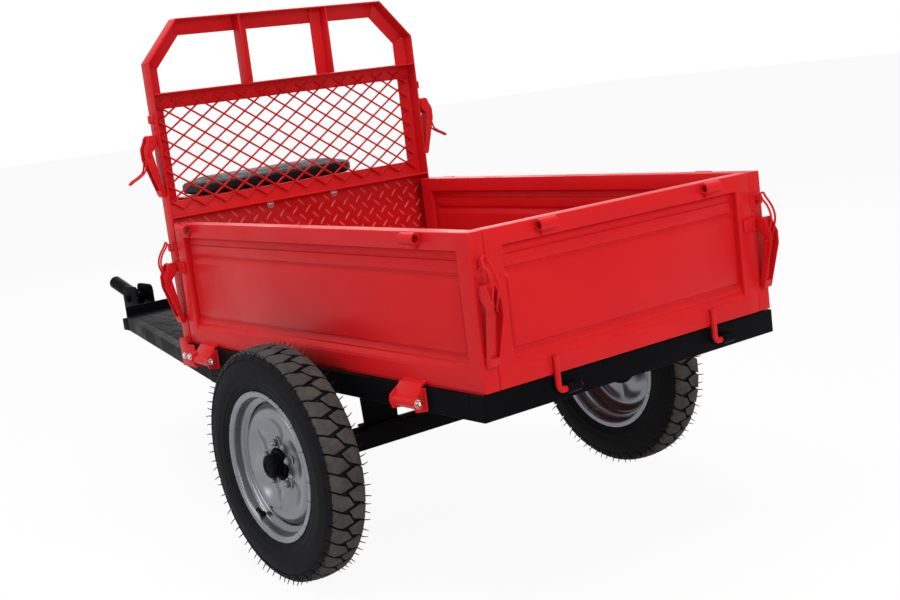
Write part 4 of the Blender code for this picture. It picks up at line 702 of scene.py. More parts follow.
def giveWall(bm, thickness, awayFromAir):
    # awayFromAir(face centre) is the side the wall grows to, judged over the whole sheet
    bmesh.ops.recalc_face_normals(bm, faces=bm.faces)
    bm.normal_update()
    towards = sum(face.normal.dot(awayFromAir(face.calc_center_median())) * face.calc_area()
                  for face in bm.faces)
    if towards > 0:
        bmesh.ops.reverse_faces(bm, faces=bm.faces)
    bmesh.ops.solidify(bm, geom=bm.faces[:], thickness=thickness)
    return bm


def makeRim(side, outward):
    lowCorner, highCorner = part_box("rim_" + side)
    centre = (lowCorner + highCorner) / 2
    look = rimSet
    barrel = rimEdge + [(-place, radius) for place, radius in reversed(rimEdge)]
    bm = giveWall(spunSheet(barrel, outward, look["steps"]), look["sheet"],
                  lambda spot: Vector((0, spot.y, spot.z)))
    disc = spunSheet(discEdge, outward, look["steps"])
    inner, outer = look["lobeRange"]
    for vert in disc.verts:
        radius = math.hypot(vert.co.y, vert.co.z)
        if inner < radius < outer:
            wave = 1 - abs(math.cos(look["lobes"] / 2 * math.atan2(vert.co.y, vert.co.z)))
            share = math.sin(math.pi * ((radius - inner) / (outer - inner)) ** 0.7)
            vert.co.x += outward * look["lobeDepth"] * share * (wave - 0.35)
    giveWall(disc, look["sheet"], lambda spot: Vector((-outward, 0, 0)))
    mergeInto(bm, disc)
    for step in range(look["lobes"]):  # the raised seats under the nuts
        turn = 2 * math.pi * step / look["lobes"]
        circle = look["nutCircle"]
        spot = Vector((outward * 0.0128, circle * math.sin(turn), circle * math.cos(turn)))
        addRound(bm, spot, (outward, 0, 0), 0.0135, 0.0016, 28, 0.0120)
    bmesh.ops.translate(bm, verts=bm.verts, vec=centre)
    piece = shownMesh("rimWithDisc_" + side, bm, [silver], 38)
    settle(piece, "wheel_" + side, "silver_paint", "rim_" + side)
    makeValve(side, outward, centre)


def makeValve(side, outward, centre):
    look = rimSet
    turn = math.radians(look["valveTurn"])
    radial = Vector((0, math.sin(turn), math.cos(turn)))
    foot = Vector((outward * look["valvePlace"], 0, 0)) + radial * look["valveRadius"]
    axis = (Vector((outward * 0.62, 0, 0)) - radial * 0.78).normalized()
    length = look["valveLength"]
    bm = bmesh.new()
    profile = [(-0.002, 0.0), (-0.002, 0.0070), (0.0015, 0.0070), (0.003, 0.0052),
               (length * 0.62, 0.0044), (length * 0.64, 0.0036), (length * 0.70, 0.0036),
               (length * 0.71, 0.0046), (length * 0.97, 0.0046), (length, 0.0038), (length, 0.0)]
    addSpun(bm, profile, foot + centre, axis, 24)
    settle(shownMesh("valveStem_" + side, bm, [rubber], 40), "wheel_" + side, "tyre")


hubSet = {"capRadius": 0.0265, "flangeRadius": 0.0335, "capShort": 0.004, "steps": 48}


def makeHub(side, outward):
    lowCorner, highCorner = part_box("hub_" + side)
    centre = (lowCorner + highCorner) / 2
    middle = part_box("rim_" + side)
    plane = (middle[0].x + middle[1].x) / 2
    centre.x = plane
    reach = max(abs(lowCorner.x - plane), abs(highCorner.x - plane)) - hubSet["capShort"]
    back = min(abs(lowCorner.x - plane), abs(highCorner.x - plane))
    cap, flange = hubSet["capRadius"], hubSet["flangeRadius"]
    profile = [(-back, 0.0154), (-back, 0.0285), (-back + 0.0015, 0.0300), (0.0005, 0.0300),
               (0.0010, 0.0320), (0.0010, 0.0605), (0.0025, 0.0620), (0.0075, 0.0620), (0.0087, 0.0608),
               (0.0087, flange), (0.0150, flange), (0.0162, flange - 0.0012), (0.0166, cap + 0.0016),
               (0.0180, cap),
               (reach - 0.0110, cap), (reach - 0.0102, cap - 0.0014), (reach - 0.0092, cap - 0.0014),
               (reach - 0.0084, cap), (reach - 0.0050, cap - 0.0004), (reach - 0.0022, cap - 0.0024),
               (reach, cap - 0.0060), (reach, cap - 0.0120), (reach - 0.0018, cap - 0.0135),
               (reach - 0.0018, 0.0080), (reach - 0.0004, 0.0062), (reach - 0.0004, 0.0)]
    bm = bmesh.new()
    addSpun(bm, profile, centre, (outward, 0, 0), hubSet["steps"])
    for step in range(4):  # the screws of the bearing's cover
        turn = math.pi / 2 * (step + 0.4)
        reachOut = flange - 0.0052
        spot = centre + Vector((outward * 0.0158, reachOut * math.sin(turn), reachOut * math.cos(turn)))
        hexNut(bm, spot, (outward, 0, 0), 0.0040, 0.0040)
    piece = shownMesh("hubWithCover_" + side, bm, [black], 40)
    settle(piece, "wheel_" + side, "black_paint", "hub_" + side)
    bm = bmesh.new()
    for step in range(rimSet["lobes"]):
        turn = 2 * math.pi * step / rimSet["lobes"]
        circle = rimSet["nutCircle"]
        spot = centre + Vector((outward * 0.0137, circle * math.sin(turn), circle * math.cos(turn)))
        hexNut(bm, spot, (outward, 0, 0), 0.0088, 0.0080)
    settle(shownMesh("wheelNuts_" + side, bm, [silver], 40), "wheel_" + side, "silver_paint")


for side, outward in sides.items():
    makeRim(side, outward)
    makeHub(side, outward)
print("rims and hubs made")


# heights are measured down from the panel's top, depths inwards from its outer face
panelSet = {"thickness": 0.035, "topRail": 0.035, "bottomRail": 0.038, "stile": 0.042, "edge": 0.0022,
            "endDepth": 0.0150, "endFlat": 0.0035, "endSlope": 0.0110, "lowSlope": 0.2330}
sheetProfile = [(0.0310, 0.0172), (0.0350, 0.0170), (0.0374, 0.0163), (0.0500, 0.0118), (0.0520, 0.0112),
                (0.0530, 0.0128), (0.0540, 0.0126), (0.0556, 0.0102), (0.0580, 0.0096),
                (0.0760, 0.0092), (0.0782, 0.0100), (0.0800, 0.0134), (0.0812, 0.0152), (0.0832, 0.0154),
                (0.0850, 0.0142), (0.0968, 0.0086), (0.0990, 0.0080), (0.1020, 0.0078), (0.1660, 0.0074),
                (0.2290, 0.0078), (0.2312, 0.0084), (0.2328, 0.0108), (0.2342, 0.0140), (0.2362, 0.0146),
                (0.2384, 0.0136), (0.2480, 0.0086), (0.2500, 0.0092), (0.2516, 0.0090), (0.2530, 0.0070),
                (0.2610, 0.0024), (0.2632, 0.0016), (0.2655, 0.0014), (0.2690, 0.0030)]


def panelFrame(bm, length, height):
    # the rails and stiles in one ring; X along, Y inwards, Z up from the panel's top
    look = panelSet
    ring = bmesh.new()
    bmesh.ops.create_grid(ring, x_segments=3, y_segments=3, size=1.5)
    across = (0, look["stile"], length - look["stile"], length)
    upward = (-height, look["bottomRail"] - height, -look["topRail"], 0)
    for vert in ring.verts:
        vert.co = (across[round(vert.co.x + 1.5)], 0, upward[round(vert.co.y + 1.5)])
    centre = Vector((length / 2, 0, -height / 2))
    middle = [min(ring.faces, key=lambda face: (face.calc_center_median() - centre).length)]
    bmesh.ops.delete(ring, geom=middle, context="FACES_ONLY")
    made = bmesh.ops.extrude_face_region(ring, geom=list(ring.faces))
    moved = [item for item in made["geom"] if isinstance(item, bmesh.types.BMVert)]
    bmesh.ops.translate(ring, verts=moved, vec=(0, look["thickness"], 0))
    bmesh.ops.recalc_face_normals(ring, faces=ring.faces)
    roundEdges(ring, look["edge"], 3)
    mergeInto(bm, ring)


def sheetBody(bm, length):
    # the pressed sheet, the same on both faces, from one stile to the other
    look = panelSet
    outer = [(depth, -drop) for drop, depth in sheetProfile]
    inner = [(look["thickness"] - depth, drop) for depth, drop in reversed(outer)]
    sheet = bmesh.new()
    start = look["stile"]
    bury = 0.006
    stations = [start, start + look["endFlat"]]
    stations += [start + look["endFlat"] + look["endSlope"] * share for share in (0.2, 0.4, 0.6, 0.8, 1.0)]
    stations += [length / 2] + [length - place for place in reversed(stations)] + [length - start + bury]
    here = start - bury
    points = [sheet.verts.new((here, depth, drop)) for depth, drop in outer + inner]
    front = [sheet.edges.new((points[i - 1], points[i])) for i in range(len(points))]
    first = list(front)
    for place in stations:
        made = bmesh.ops.extrude_edge_only(sheet, edges=front)
        moved = [item for item in made["geom"] if isinstance(item, bmesh.types.BMVert)]
        bmesh.ops.translate(sheet, verts=moved, vec=(place - here, 0, 0))
        front = [item for item in made["geom"] if isinstance(item, bmesh.types.BMEdge)]
        here = place
    bmesh.ops.holes_fill(sheet, edges=first, sides=0)
    bmesh.ops.holes_fill(sheet, edges=front, sides=0)
    deep = look["endDepth"]
    for vert in sheet.verts:
        along = min(vert.co.x, length - vert.co.x) - start
        share = min(1, max(0, (along - look["endFlat"]) / look["endSlope"]))
        share = share * share * (3 - 2 * share)
        outside = vert.co.y < look["thickness"] / 2
        depth = vert.co.y if outside else look["thickness"] - vert.co.y
        if depth < deep and vert.co.z > -look["lowSlope"]:
            depth = deep + (depth - deep) * share
            vert.co.y = depth if outside else look["thickness"] - depth
    mergeInto(bm, sheet)


def addWeld(bm, start, end, size, seed, every=0.8):
    # a bead of overlapping blobs
    chance = random.Random(seed)
    start, end = Vector(start), Vector(end)
    count = max(2, int((end - start).length / (size * every)))
    for step in range(count + 1):
        stray = Vector([chance.uniform(-0.12, 0.12) * size for axis in range(3)])
        place = Matrix.Translation(start.lerp(end, step / count) + stray)
        place = place @ Matrix.Rotation(chance.uniform(0, 3), 4, (0.4, 0.5, 0.7))
        radius = size * chance.uniform(0.85, 1.15)
        bmesh.ops.create_icosphere(bm, subdivisions=1, radius=radius, matrix=place)


socketSet = {"radius": 0.012, "bore": 0.0078, "length": 0.045, "drop": 0.012, "sunk": 0.001}
# how far a side panel's sockets stand from its ends, and the tailgate's from its middle
socketPlaces = {"side": (0.170, 1.120), "tailgate": (-0.2195, 0.237)}


def addSocket(bm, along):
    # a stub of tube on the top rail, open at both ends, with its welds and a saddle underneath
    look = socketSet
    half, bore, radius = look["length"] / 2, look["bore"], look["radius"]
    middle = Vector((along, look["sunk"] - radius, -look["drop"]))
    profile = [(-half, bore), (-half, radius - 0.0008), (-half + 0.0008, radius), (half - 0.0008, radius),
               (half, radius - 0.0008), (half, bore), (-half, bore)]
    tube = bmesh.new()
    addSpun(tube, profile, middle, (1, 0, 0), 32)
    mergeInto(bm, tube)
    under = middle + Vector((0, radius - 0.0022, -radius * 0.62))
    reach = Vector((half * 0.9, 0, 0))
    addWeld(bm, under - reach, under + reach, 0.0021, int(along * 1000))
    saddle = bmesh.new()
    addBox(saddle, (along - 0.010, -0.0045, -0.0335), (along + 0.020, 0.001, -0.0225))
    roundEdges(saddle, 0.0008, 2)
    mergeInto(bm, saddle)


# the latches' fittings; X across, Y into the face, Z up from the lever's top
latchSet = {"pinOut": 0.020, "pinUp": -0.010, "bailOut": 0.030, "bailUp": -0.048, "width": 0.025,
            "plate": 0.003, "wire": 0.005, "pin": 0.006, "lugHeight": 0.024, "keeperLow": 0.015,
            "keeperHigh": 0.054, "hookReach": 0.013, "hookLow": 0.030, "hookHigh": 0.050,
            "cheek": 0.0025, "play": 0.0015, "pinShort": 0.0016, "strapShort": 0.030,
            "pinHead": 0.0042, "bailHead": 0.0034}


def latchPlace(spot, sign):
    # sign 0 faces the rear, otherwise the left or right side
    return Matrix.Translation(spot) @ Matrix.Rotation(math.radians(90 * sign), 4, "Z")


def addPart(bm, part, place):
    bmesh.ops.transform(part, matrix=place, verts=part.verts)
    mergeInto(bm, part)


def archOutline(half, low, high, steps=8):
    # a plate outline with a round head
    head = [(half * math.cos(math.pi * step / steps), high - half + half * math.sin(math.pi * step / steps))
            for step in range(steps + 1)]
    return [(-half, low), (half, low)] + head


def addKeeper(bm, place):
    look = latchSet
    upright = Matrix.Rotation(math.radians(90), 4, "X")
    plate = bmesh.new()
    addOutline(plate, archOutline(0.012, look["keeperLow"], look["keeperHigh"]), upright, look["plate"])
    roundEdges(plate, 0.0007, 2, 50, 1.2)
    addPart(bm, plate, place)
    hook = bmesh.new()
    half = 0.006
    thick = 0.004
    reach, low, high = look["hookReach"], look["hookLow"], look["hookHigh"]
    section = [(-0.001, low), (-0.001, low + thick), (-reach + thick * 1.4, low + thick),
               (-reach + thick, low + thick * 1.5), (-reach + thick, high), (-reach + 0.001, high),
               (-reach, high - 0.001), (-reach, low + 0.002), (-reach + 0.002, low)]
    sideways = Matrix(((0, 0, 1, -half), (1, 0, 0, 0), (0, 1, 0, 0), (0, 0, 0, 1)))
    addOutline(hook, section, sideways, 2 * half)
    roundEdges(hook, 0.0006, 2, 50, 1.2)
    addPart(bm, hook, place)
    welds = bmesh.new()
    for x in (-0.0122, 0.0122):
        addWeld(welds, (x, -0.0006, 0.019), (x, -0.0006, 0.040), 0.0016, int(x * 1e4))
    addPart(bm, welds, place)


def addLug(bm, place, strapFar=None):
    # the lug between the lever's cheeks with its pin, on a plate or a strap that reaches sideways
    look = latchSet
    half = look["width"] / 2 - look["cheek"] - look["play"]
    block = bmesh.new()
    addBox(block, (-half, -look["pinOut"] - look["pin"], look["pinUp"] - look["lugHeight"] / 2),
           (half, -look["plate"] / 2, look["pinUp"] + look["lugHeight"] / 2))
    roundEdges(block, 0.003, 3)
    addPart(bm, block, place)
    pin = bmesh.new()
    addRound(pin, (0, -look["pinOut"], look["pinUp"]), (1, 0, 0), look["pin"] / 2,
             look["width"] - look["pinShort"], 20)
    roundEdges(pin, 0.0006, 2)
    addPart(bm, pin, place)
    strap = bmesh.new()
    low, high = look["pinUp"] - look["lugHeight"], look["pinUp"] + look["lugHeight"]
    if strapFar is None:
        addBox(strap, (-look["width"] / 2, -look["plate"], low), (look["width"] / 2, 0.001, high))
    else:
        reach = sorted((-math.copysign(look["width"] / 2, strapFar), strapFar))
        addBox(strap, (reach[0], -look["plate"] - 0.0006, low + 0.009), (reach[1], -0.0006, high - 0.012))
    roundEdges(strap, 0.0008, 2)
    addPart(bm, strap, place)


def addHingeLeaf(bm, sign, middle):
    # the bent plate from the panel's foot to its barrel round the hinge bolt
    pinX = sign * (panelInside + panelSet["thickness"] + hingeSet["out"])
    pinZ = hingeSet["height"]
    half = hingeSet["leaf"] / 2
    edge = sign * (panelInside + panelSet["thickness"])
    leaf = bmesh.new()
    section = [(edge - sign * 0.0015, panelLow + 0.0006), (edge + sign * 0.010, panelLow - 0.002),
               (pinX - sign * 0.0075, pinZ + 0.0045), (pinX + sign * 0.003, pinZ + 0.0092),
               (edge + sign * 0.012, panelLow + 0.003), (edge + sign * 0.0015, panelLow + 0.0060)]
    lay = Matrix(((1, 0, 0, 0), (0, 0, 1, middle - half), (0, 1, 0, 0), (0, 0, 0, 1)))
    addOutline(leaf, section, lay, 2 * half)
    roundEdges(leaf, 0.0008, 2, 30, 1.2)
    mergeInto(bm, leaf)
    barrel = bmesh.new()
    addRound(barrel, (pinX, middle, pinZ), (0, 1, 0), hingeSet["barrel"], 2 * half, 32)
    roundEdges(barrel, 0.0010, 2)
    mergeInto(bm, barrel)
    addWeld(bm, (edge + sign * 0.001, middle - half, panelLow + 0.0062),
            (edge + sign * 0.001, middle + half, panelLow + 0.0062), 0.0018, int(middle * 1000))


hingeSet = {"out": 0.0275, "height": 0.430, "leaf": 0.075, "barrel": 0.0098,
            "rear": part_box("side_hinge_rear_left"), "front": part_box("side_hinge_front_left")}
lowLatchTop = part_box("latch_lever_rear_left")[1].z - 0.003
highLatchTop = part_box("latch_lever_upper_left")[1].z - 0.003
sideLatchY = sum(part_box("latch_lever_front_left")[index].y for index in (0, 1)) / 2
rearLatchX = sum(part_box("latch_lever_rear_right")[index].x for index in (0, 1)) / 2


def makeSidePanel(side):
    sign = sides[side]
    node = "side_panel_" + side
    length = boxFront - boxRear
    high = panelHigh - panelLow
    bm = bmesh.new()
    panelFrame(bm, length, high)
    sheetBody(bm, length)
    for along in socketPlaces["side"]:
        addSocket(bm, along)
    outside = sign * (panelInside + panelSet["thickness"])
    lay = Matrix(((0, -sign, 0, outside), (1, 0, 0, boxRear), (0, 0, 1, panelHigh), (0, 0, 0, 1)))
    bmesh.ops.transform(bm, matrix=lay, verts=bm.verts)
    addKeeper(bm, latchPlace((sign * rearLatchX, boxRear, lowLatchTop), 0))
    strapFar = -sign * (sideLatchY - boxFront + latchSet["strapShort"])
    addLug(bm, latchPlace((outside, sideLatchY, lowLatchTop), sign), strapFar)
    for end in ("rear", "front"):
        addHingeLeaf(bm, sign, (hingeSet[end][0].y + hingeSet[end][1].y) / 2)
    settle(shownMesh("pressedSidePanel_" + side, bm, [red]), bodyOf(node), "red_paint", node)


def makeTailgate():
    reach = panelInside - 0.0006
    bm = bmesh.new()
    panelFrame(bm, 2 * reach, panelHigh - panelLow)
    sheetBody(bm, 2 * reach)
    for middle in socketPlaces["tailgate"]:
        addSocket(bm, middle + reach)
    bmesh.ops.transform(bm, matrix=Matrix.Translation((-reach, boxRear, panelHigh)), verts=bm.verts)
    for sign in sides.values():
        strapFar = -sign * (rearLatchX - reach + latchSet["strapShort"])
        addLug(bm, latchPlace((sign * rearLatchX, boxRear, lowLatchTop), 0), strapFar)
    settle(shownMesh("pressedTailgate", bm, [red]), bodyOf("tailgate"), "red_paint", "tailgate")


for side in sides:
    makeSidePanel(side)
makeTailgate()
print("panels made")


def softCopy(name, node, width, slotName, extra=None, segments=2, finishes=None):
    # the node's own shape with its sharp edges eased, and what is welded or bolted to it
    bm = roundEdges(copyOf(node), width, segments)
    if extra:
        extra(bm)
    return settle(shownMesh(name, bm, finishes or [finishOf[slotName]]), bodyOf(node), slotName, node)


angleSet = {"leg": 0.040, "wall": 0.004, "edge": 0.0011}
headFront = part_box("headboard_top_rail")[1].y
headRear = headFront - angleSet["wall"]
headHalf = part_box("headboard_corner_right")[1].x
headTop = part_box("headboard_top_rail")[1].z
chamferLow = Vector((headHalf, 0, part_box("headboard_post_right")[1].z))
chamferHigh = Vector((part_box("headboard_top_rail")[1].x, 0, headTop))
postSet = {"reach": 0.036, "foot": 0.400, "sole": 0.012, "boltUp": 0.019, "boltApart": 0.028,
           "boltIn": 0.020}


def angleSection(bm, corner, legX, legY, start, end, axis="Z"):
    # a length of angle iron, its outer corner at the place given, with eased edges and a fillet inside
    wall = angleSet["wall"]
    stepX, stepY = math.copysign(1, legX), math.copysign(1, legY)
    fillet = 0.0022
    spots = [(0, 0), (legX, 0), (legX, stepY * wall), (stepX * (wall + fillet), stepY * wall),
             (stepX * (wall + fillet * 0.3), stepY * (wall + fillet * 0.3)),
             (stepX * wall, stepY * (wall + fillet)), (stepX * wall, legY), (0, legY)]
    outline = [(corner[0] + x, corner[1] + y) for x, y in spots]
    bar = bmesh.new()
    if axis == "Z":
        addOutline(bar, outline, Matrix.Translation((0, 0, start)), end - start)
    else:
        lay = Matrix(((0, 0, 1, start), (1, 0, 0, 0), (0, 1, 0, 0), (0, 0, 0, 1)))
        addOutline(bar, outline, lay, end - start)
    bmesh.ops.recalc_face_normals(bar, faces=bar.faces)
    roundEdges(bar, angleSet["edge"], 2, 50, 1.5)
    mergeInto(bm, bar)


def cutBy(bm, point, normal):
    # cuts away what lies beyond the plane and closes the cut
    geometry = bm.verts[:] + bm.edges[:] + bm.faces[:]
    bmesh.ops.bisect_plane(bm, geom=geometry, dist=1e-6, plane_co=point, plane_no=normal, clear_outer=True)
    bmesh.ops.holes_fill(bm, edges=[edge for edge in bm.edges if edge.is_boundary], sides=0)


def makePost(side):
    sign = sides[side]
    node = "headboard_post_" + side
    bm = bmesh.new()
    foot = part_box("front_panel")[0].z
    angleSection(bm, (sign * headHalf, headFront), -sign * angleSet["leg"], -angleSet["leg"],
                 foot, chamferLow.z + 0.06)
    run = (chamferHigh - chamferLow).normalized() + Vector((0, 0, 1))
    cutBy(bm, (sign * chamferLow.x, 0, chamferLow.z), (sign * run.x, 0, run.z))
    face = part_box("chassis_rail_right")[1].x + 0.0003
    rear = headFront - angleSet["leg"]
    plate = bmesh.new()
    back, sole = rear - postSet["reach"], foot + postSet["sole"]
    outline = [(back, postSet["foot"]), (headFront, postSet["foot"]), (headFront, sole),
               (rear + 0.001, sole), (rear + 0.001, foot), (back + 0.004, foot), (back, foot - 0.004)]
    lay = Matrix(((0, 0, sign, sign * face), (1, 0, 0, 0), (0, 1, 0, 0), (0, 0, 0, 1)))
    addOutline(plate, outline, lay, angleSet["wall"])
    roundEdges(plate, 0.0009, 2)
    mergeInto(bm, plate)
    filler = bmesh.new()
    spans = sorted((sign * (headHalf - angleSet["wall"] + 0.001), sign * (face + 0.001)))
    addBox(filler, (spans[0], rear + 0.002, foot + 0.001), (spans[1], headFront - 0.001, sole - 0.001))
    mergeInto(bm, filler)
    outer = sign * (face + angleSet["wall"])
    bolts = bmesh.new()
    for step in (0, 1):
        spot = (outer, headFront - postSet["boltIn"] - step * postSet["boltApart"],
                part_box("chassis_rail_right")[0].z + postSet["boltUp"])
        addRound(bolts, Vector(spot) + Vector((sign * 0.0006, 0, 0)), (1, 0, 0), 0.0088, 0.0012, 28)
        bolt = bmesh.new()
        addRound(bolt, Vector(spot) + Vector((sign * 0.0034, 0, 0)), (1, 0, 0), 0.0072, 0.0052, 6)
        roundEdges(bolt, 0.0008, 2)
        mergeInto(bolts, bolt)
    settle(shownMesh("footBolts_" + side, bolts, [zinc]), bodyOf(node), "zinc")
    addWeld(bm, (outer - sign * 0.001, rear + 0.004, sole), (outer - sign * 0.001, headFront - 0.003, sole),
            0.0024, 5 + sign)
    outside = sign * headHalf
    low = latchPlace((outside, sideLatchY, lowLatchTop), sign)
    high = latchPlace((outside, sideLatchY, highLatchTop), sign)
    addKeeper(bm, low)
    addKeeper(bm, high)
    addLug(bm, high)
    settle(shownMesh("headboardPost_" + side, bm, [red]), bodyOf(node), "red_paint", node)


def frameWelds(bm):
    # across the mitres at both ends of the slanted corners
    for sign in sides.values():
        for spot, run in ((chamferLow, Vector((-0.010, 0, -0.036))),
                          (chamferHigh, Vector((-0.014, 0, -0.037)))):
            ends = [Vector((sign * place.x, headRear - 0.0002, place.z))
                    for place in (spot + Vector((-0.002, 0, -0.003)), spot + run)]
            addWeld(bm, ends[0], ends[1], 0.0019, int(spot.z * 1000) + sign)


def flangeWelds(bm, node):
    # short beads where a rail's ends meet the posts, up the leg and along the flange
    low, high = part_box(node)
    face, flange = headRear - 0.0004, low.z + 0.0035
    for sign in sides.values():
        edge = low.x if sign < 0 else high.x
        addWeld(bm, (edge, face, low.z + 0.005), (edge, face, high.z - 0.005), 0.0018, int(edge * 1000))
        addWeld(bm, (edge, low.y + 0.004, flange), (edge, headRear - 0.004, flange), 0.0018,
                int(edge * 1000))


def uprightWelds(bm, node):
    low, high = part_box(node)
    back = headRear - 0.005
    for height in (low.z + 0.0012, high.z - 0.0012):
        addWeld(bm, (low.x + 0.004, back, height), (high.x - 0.004, back, height), 0.0022,
                int(height * 1000))


def makeHeadboard():
    for side in sides:
        makePost(side)
        softCopy("headboardCorner_" + side, "headboard_corner_" + side, angleSet["edge"], "red_paint")
        upright = "headboard_upright_" + side
        softCopy("headboardUpright_" + side, upright, angleSet["edge"], "red_paint",
                 lambda bm, node=upright: uprightWelds(bm, node))
    softCopy("headboardTopRail", "headboard_top_rail", angleSet["edge"], "red_paint", frameWelds)
    for row in ("middle", "lower"):
        node = "headboard_" + row + "_rail"
        softCopy("headboardRail_" + row, node, angleSet["edge"], "red_paint",
                 lambda bm, node=node: flangeWelds(bm, node))


meshSet = {"rod": 0.0025, "across": 0.0611, "upward": 0.0403, "apart": 0.0011, "weld": 0.0030,
           "shift": -0.0158, "rise": 0.0042}


def rodSpan(across, half, low, high, slope):
    # where a rod that passes the crossings' height at the place given meets the net's edges
    middle = (low + high) / 2 + meshSet["rise"]
    spots = []
    for height in (low, high):
        place = across + (height - middle) / slope
        if abs(place) > half:
            place = math.copysign(half, place)
        spots.append((place, middle + (place - across) * slope))
    if abs(spots[0][0] - spots[1][0]) < 0.004:
        return None
    return spots


def makeNet():
    low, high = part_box("headboard_mesh")
    half = high.x
    middleY = (low.y + high.y) / 2
    bm = bmesh.new()
    slope = meshSet["upward"] / meshSet["across"]
    reach = int((half + (high.z - low.z) / slope) / meshSet["across"]) + 1
    for way in (-1, 1):
        for index in range(-reach, reach + 1):
            spots = rodSpan(index * meshSet["across"] + meshSet["shift"], half, low.z, high.z, way * slope)
            if spots is None:
                continue
            start, end = [Vector((x, middleY + way * meshSet["apart"], z)) for x, z in spots]
            rod = bmesh.new()
            addRound(rod, (start + end) / 2, end - start, meshSet["rod"], (end - start).length, 12)
            caps = [edge for edge in rod.edges if edge.calc_face_angle(0) > 1]
            bmesh.ops.bevel(rod, geom=caps, offset=0.0009, offset_type="OFFSET", affect="EDGES", segments=2,
                            profile=0.5, material=-1)
            mergeInto(bm, rod)
            for spot in (start, end):
                place = Matrix.Translation(spot.lerp((start + end) / 2, 0.012 / (end - start).length))
                bmesh.ops.create_icosphere(bm, subdivisions=1, radius=meshSet["weld"], matrix=place)
    settle(shownMesh("headboardNet", bm, [red]), bodyOf("headboard_mesh"), "red_paint", "headboard_mesh")


makeHeadboard()
makeNet()
print("headboard made")


# raised tears of the tread plate, standing in rows that lean left and right by turns
tearSet = {"pitch": 0.0405, "length": 0.0115, "width": 0.0030, "height": 0.0010, "lean": 47,
           "margin": 0.009, "plateTaper": 0.235}


def addTears(bm, low, high, place, keepOut=(), shift=(0, 0), finish=0):
    # low and high bound the sheet in the matrix's own X and Y; keepOut holds (x, y, radius)
    look = tearSet
    tear = bmesh.new()
    bmesh.ops.create_uvsphere(tear, u_segments=8, v_segments=6, radius=1)
    pointed = [vert for vert in tear.verts if abs(vert.co.x) > 0.9]
    bmesh.ops.scale(tear, verts=pointed, vec=(1.12, 0.6, 1))
    bmesh.ops.scale(tear, verts=tear.verts, vec=(look["length"], look["width"], look["height"]))
    pattern = bpy.data.meshes.new("tearPattern")
    tear.to_mesh(pattern)
    tear.free()
    half = look["pitch"] / 2
    field = bmesh.new()
    columns = int((high[0] - low[0]) / half) + 2
    rows = int((high[1] - low[1]) / half) + 2
    for column in range(columns):
        for row in range(rows):
            if (column + row) % 2:
                continue
            x, y = low[0] + shift[0] + column * half, low[1] + shift[1] + row * half
            inside = low[0] + look["margin"] < x < high[0] - look["margin"]
            inside = inside and low[1] + look["margin"] < y < high[1] - look["margin"]
            if not inside or any((x - a) ** 2 + (y - b) ** 2 < r * r for a, b, r in keepOut):
                continue
            lean = look["lean"] if column % 2 == 0 else -look["lean"]
            spot = place @ Matrix.Translation((x, y, 0)) @ Matrix.Rotation(math.radians(lean), 4, "Z")
            one = bmesh.new()
            one.from_mesh(pattern)
            for face in one.faces:
                face.material_index = finish
            bmesh.ops.transform(one, matrix=spot, verts=one.verts)
            mergeInto(field, one)
    bpy.data.meshes.remove(pattern)
    mergeInto(bm, field)


seatBolts = [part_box("seat_bolt_" + side) for side in sides]
# a lighter copy of the red paint that paints the highlight on the front panel's tears
tearHighlightRed = makeRed("tearPaintedHighlightRed", tearHighlightLook)


def frontTears(bm):
    low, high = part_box("front_panel")
    facingRear = Matrix(((1, 0, 0, 0), (0, 0, -1, low.y), (0, 1, 0, 0), (0, 0, 0, 1)))
    clear = [((a.x + b.x) / 2, (a.z + b.z) / 2, 0.020) for a, b in seatBolts]
    # the tears take the second finish, the red with the painted highlight
    addTears(bm, (low.x, low.z), (high.x, high.z), facingRear, clear, (0.006, -0.004), 1)


def footTears(bm):
    # the plate narrows towards the front, so tears past its slanted edges are left out
    low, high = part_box("foot_plate")
    flat = high.z - 0.030
    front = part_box("drawbar_rail_left")[1].y
    halfFront = -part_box("drawbar_rail_left")[1].x - 0.002
    tears = bmesh.new()
    lay = Matrix.Translation((0, 0, flat))
    addTears(tears, (low.x, front - 0.62), (high.x, front + 0.034), lay, shift=(0.004, 0))
    limit = tearSet["length"] * 0.8
    taper = tearSet["plateTaper"]
    doomed = [v for v in tears.verts
              if abs(v.co.x) > min(high.x, halfFront + taper * (front - v.co.y)) - limit]
    spread = {vert for start in doomed for vert in wholeOf(start)}
    bmesh.ops.delete(tears, geom=list(spread), context="VERTS")
    mergeInto(bm, tears)
    for x in (-0.148, 0.148):
        addWeld(bm, (x, high.y - 0.004, flat + 0.003), (x, high.y - 0.004, high.z - 0.004), 0.0018,
                int(x * 100))


def wholeOf(start):
    # every vertex joined to the first
    found, edge = {start}, [start]
    while edge:
        vert = edge.pop()
        for link in vert.link_edges:
            other = link.other_vert(vert)
            if other not in found:
                found.add(other)
                edge.append(other)
    return found


def railWelds(bm, node):
    # where the chassis rails end against a cross member
    low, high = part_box(node)
    for end in (low.x, high.x):
        inner = end - math.copysign(0.041, end)
        for height in (low.z + 0.002, high.z - 0.002):
            addWeld(bm, (inner, low.y + 0.004, height), (inner, high.y - 0.004, height), 0.0020,
                    int(end * 100))


def axleWelds(bm):
    low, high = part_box("axle_beam")
    for side in sides:
        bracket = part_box("axle_bracket_" + side)
        start, end, top = bracket[0].x + 0.016, bracket[1].x - 0.016, high.z - 0.0005
        for y in (low.y, high.y):
            addWeld(bm, (start, y, top), (end, y, top), 0.0026, int(bracket[0].x * 100))


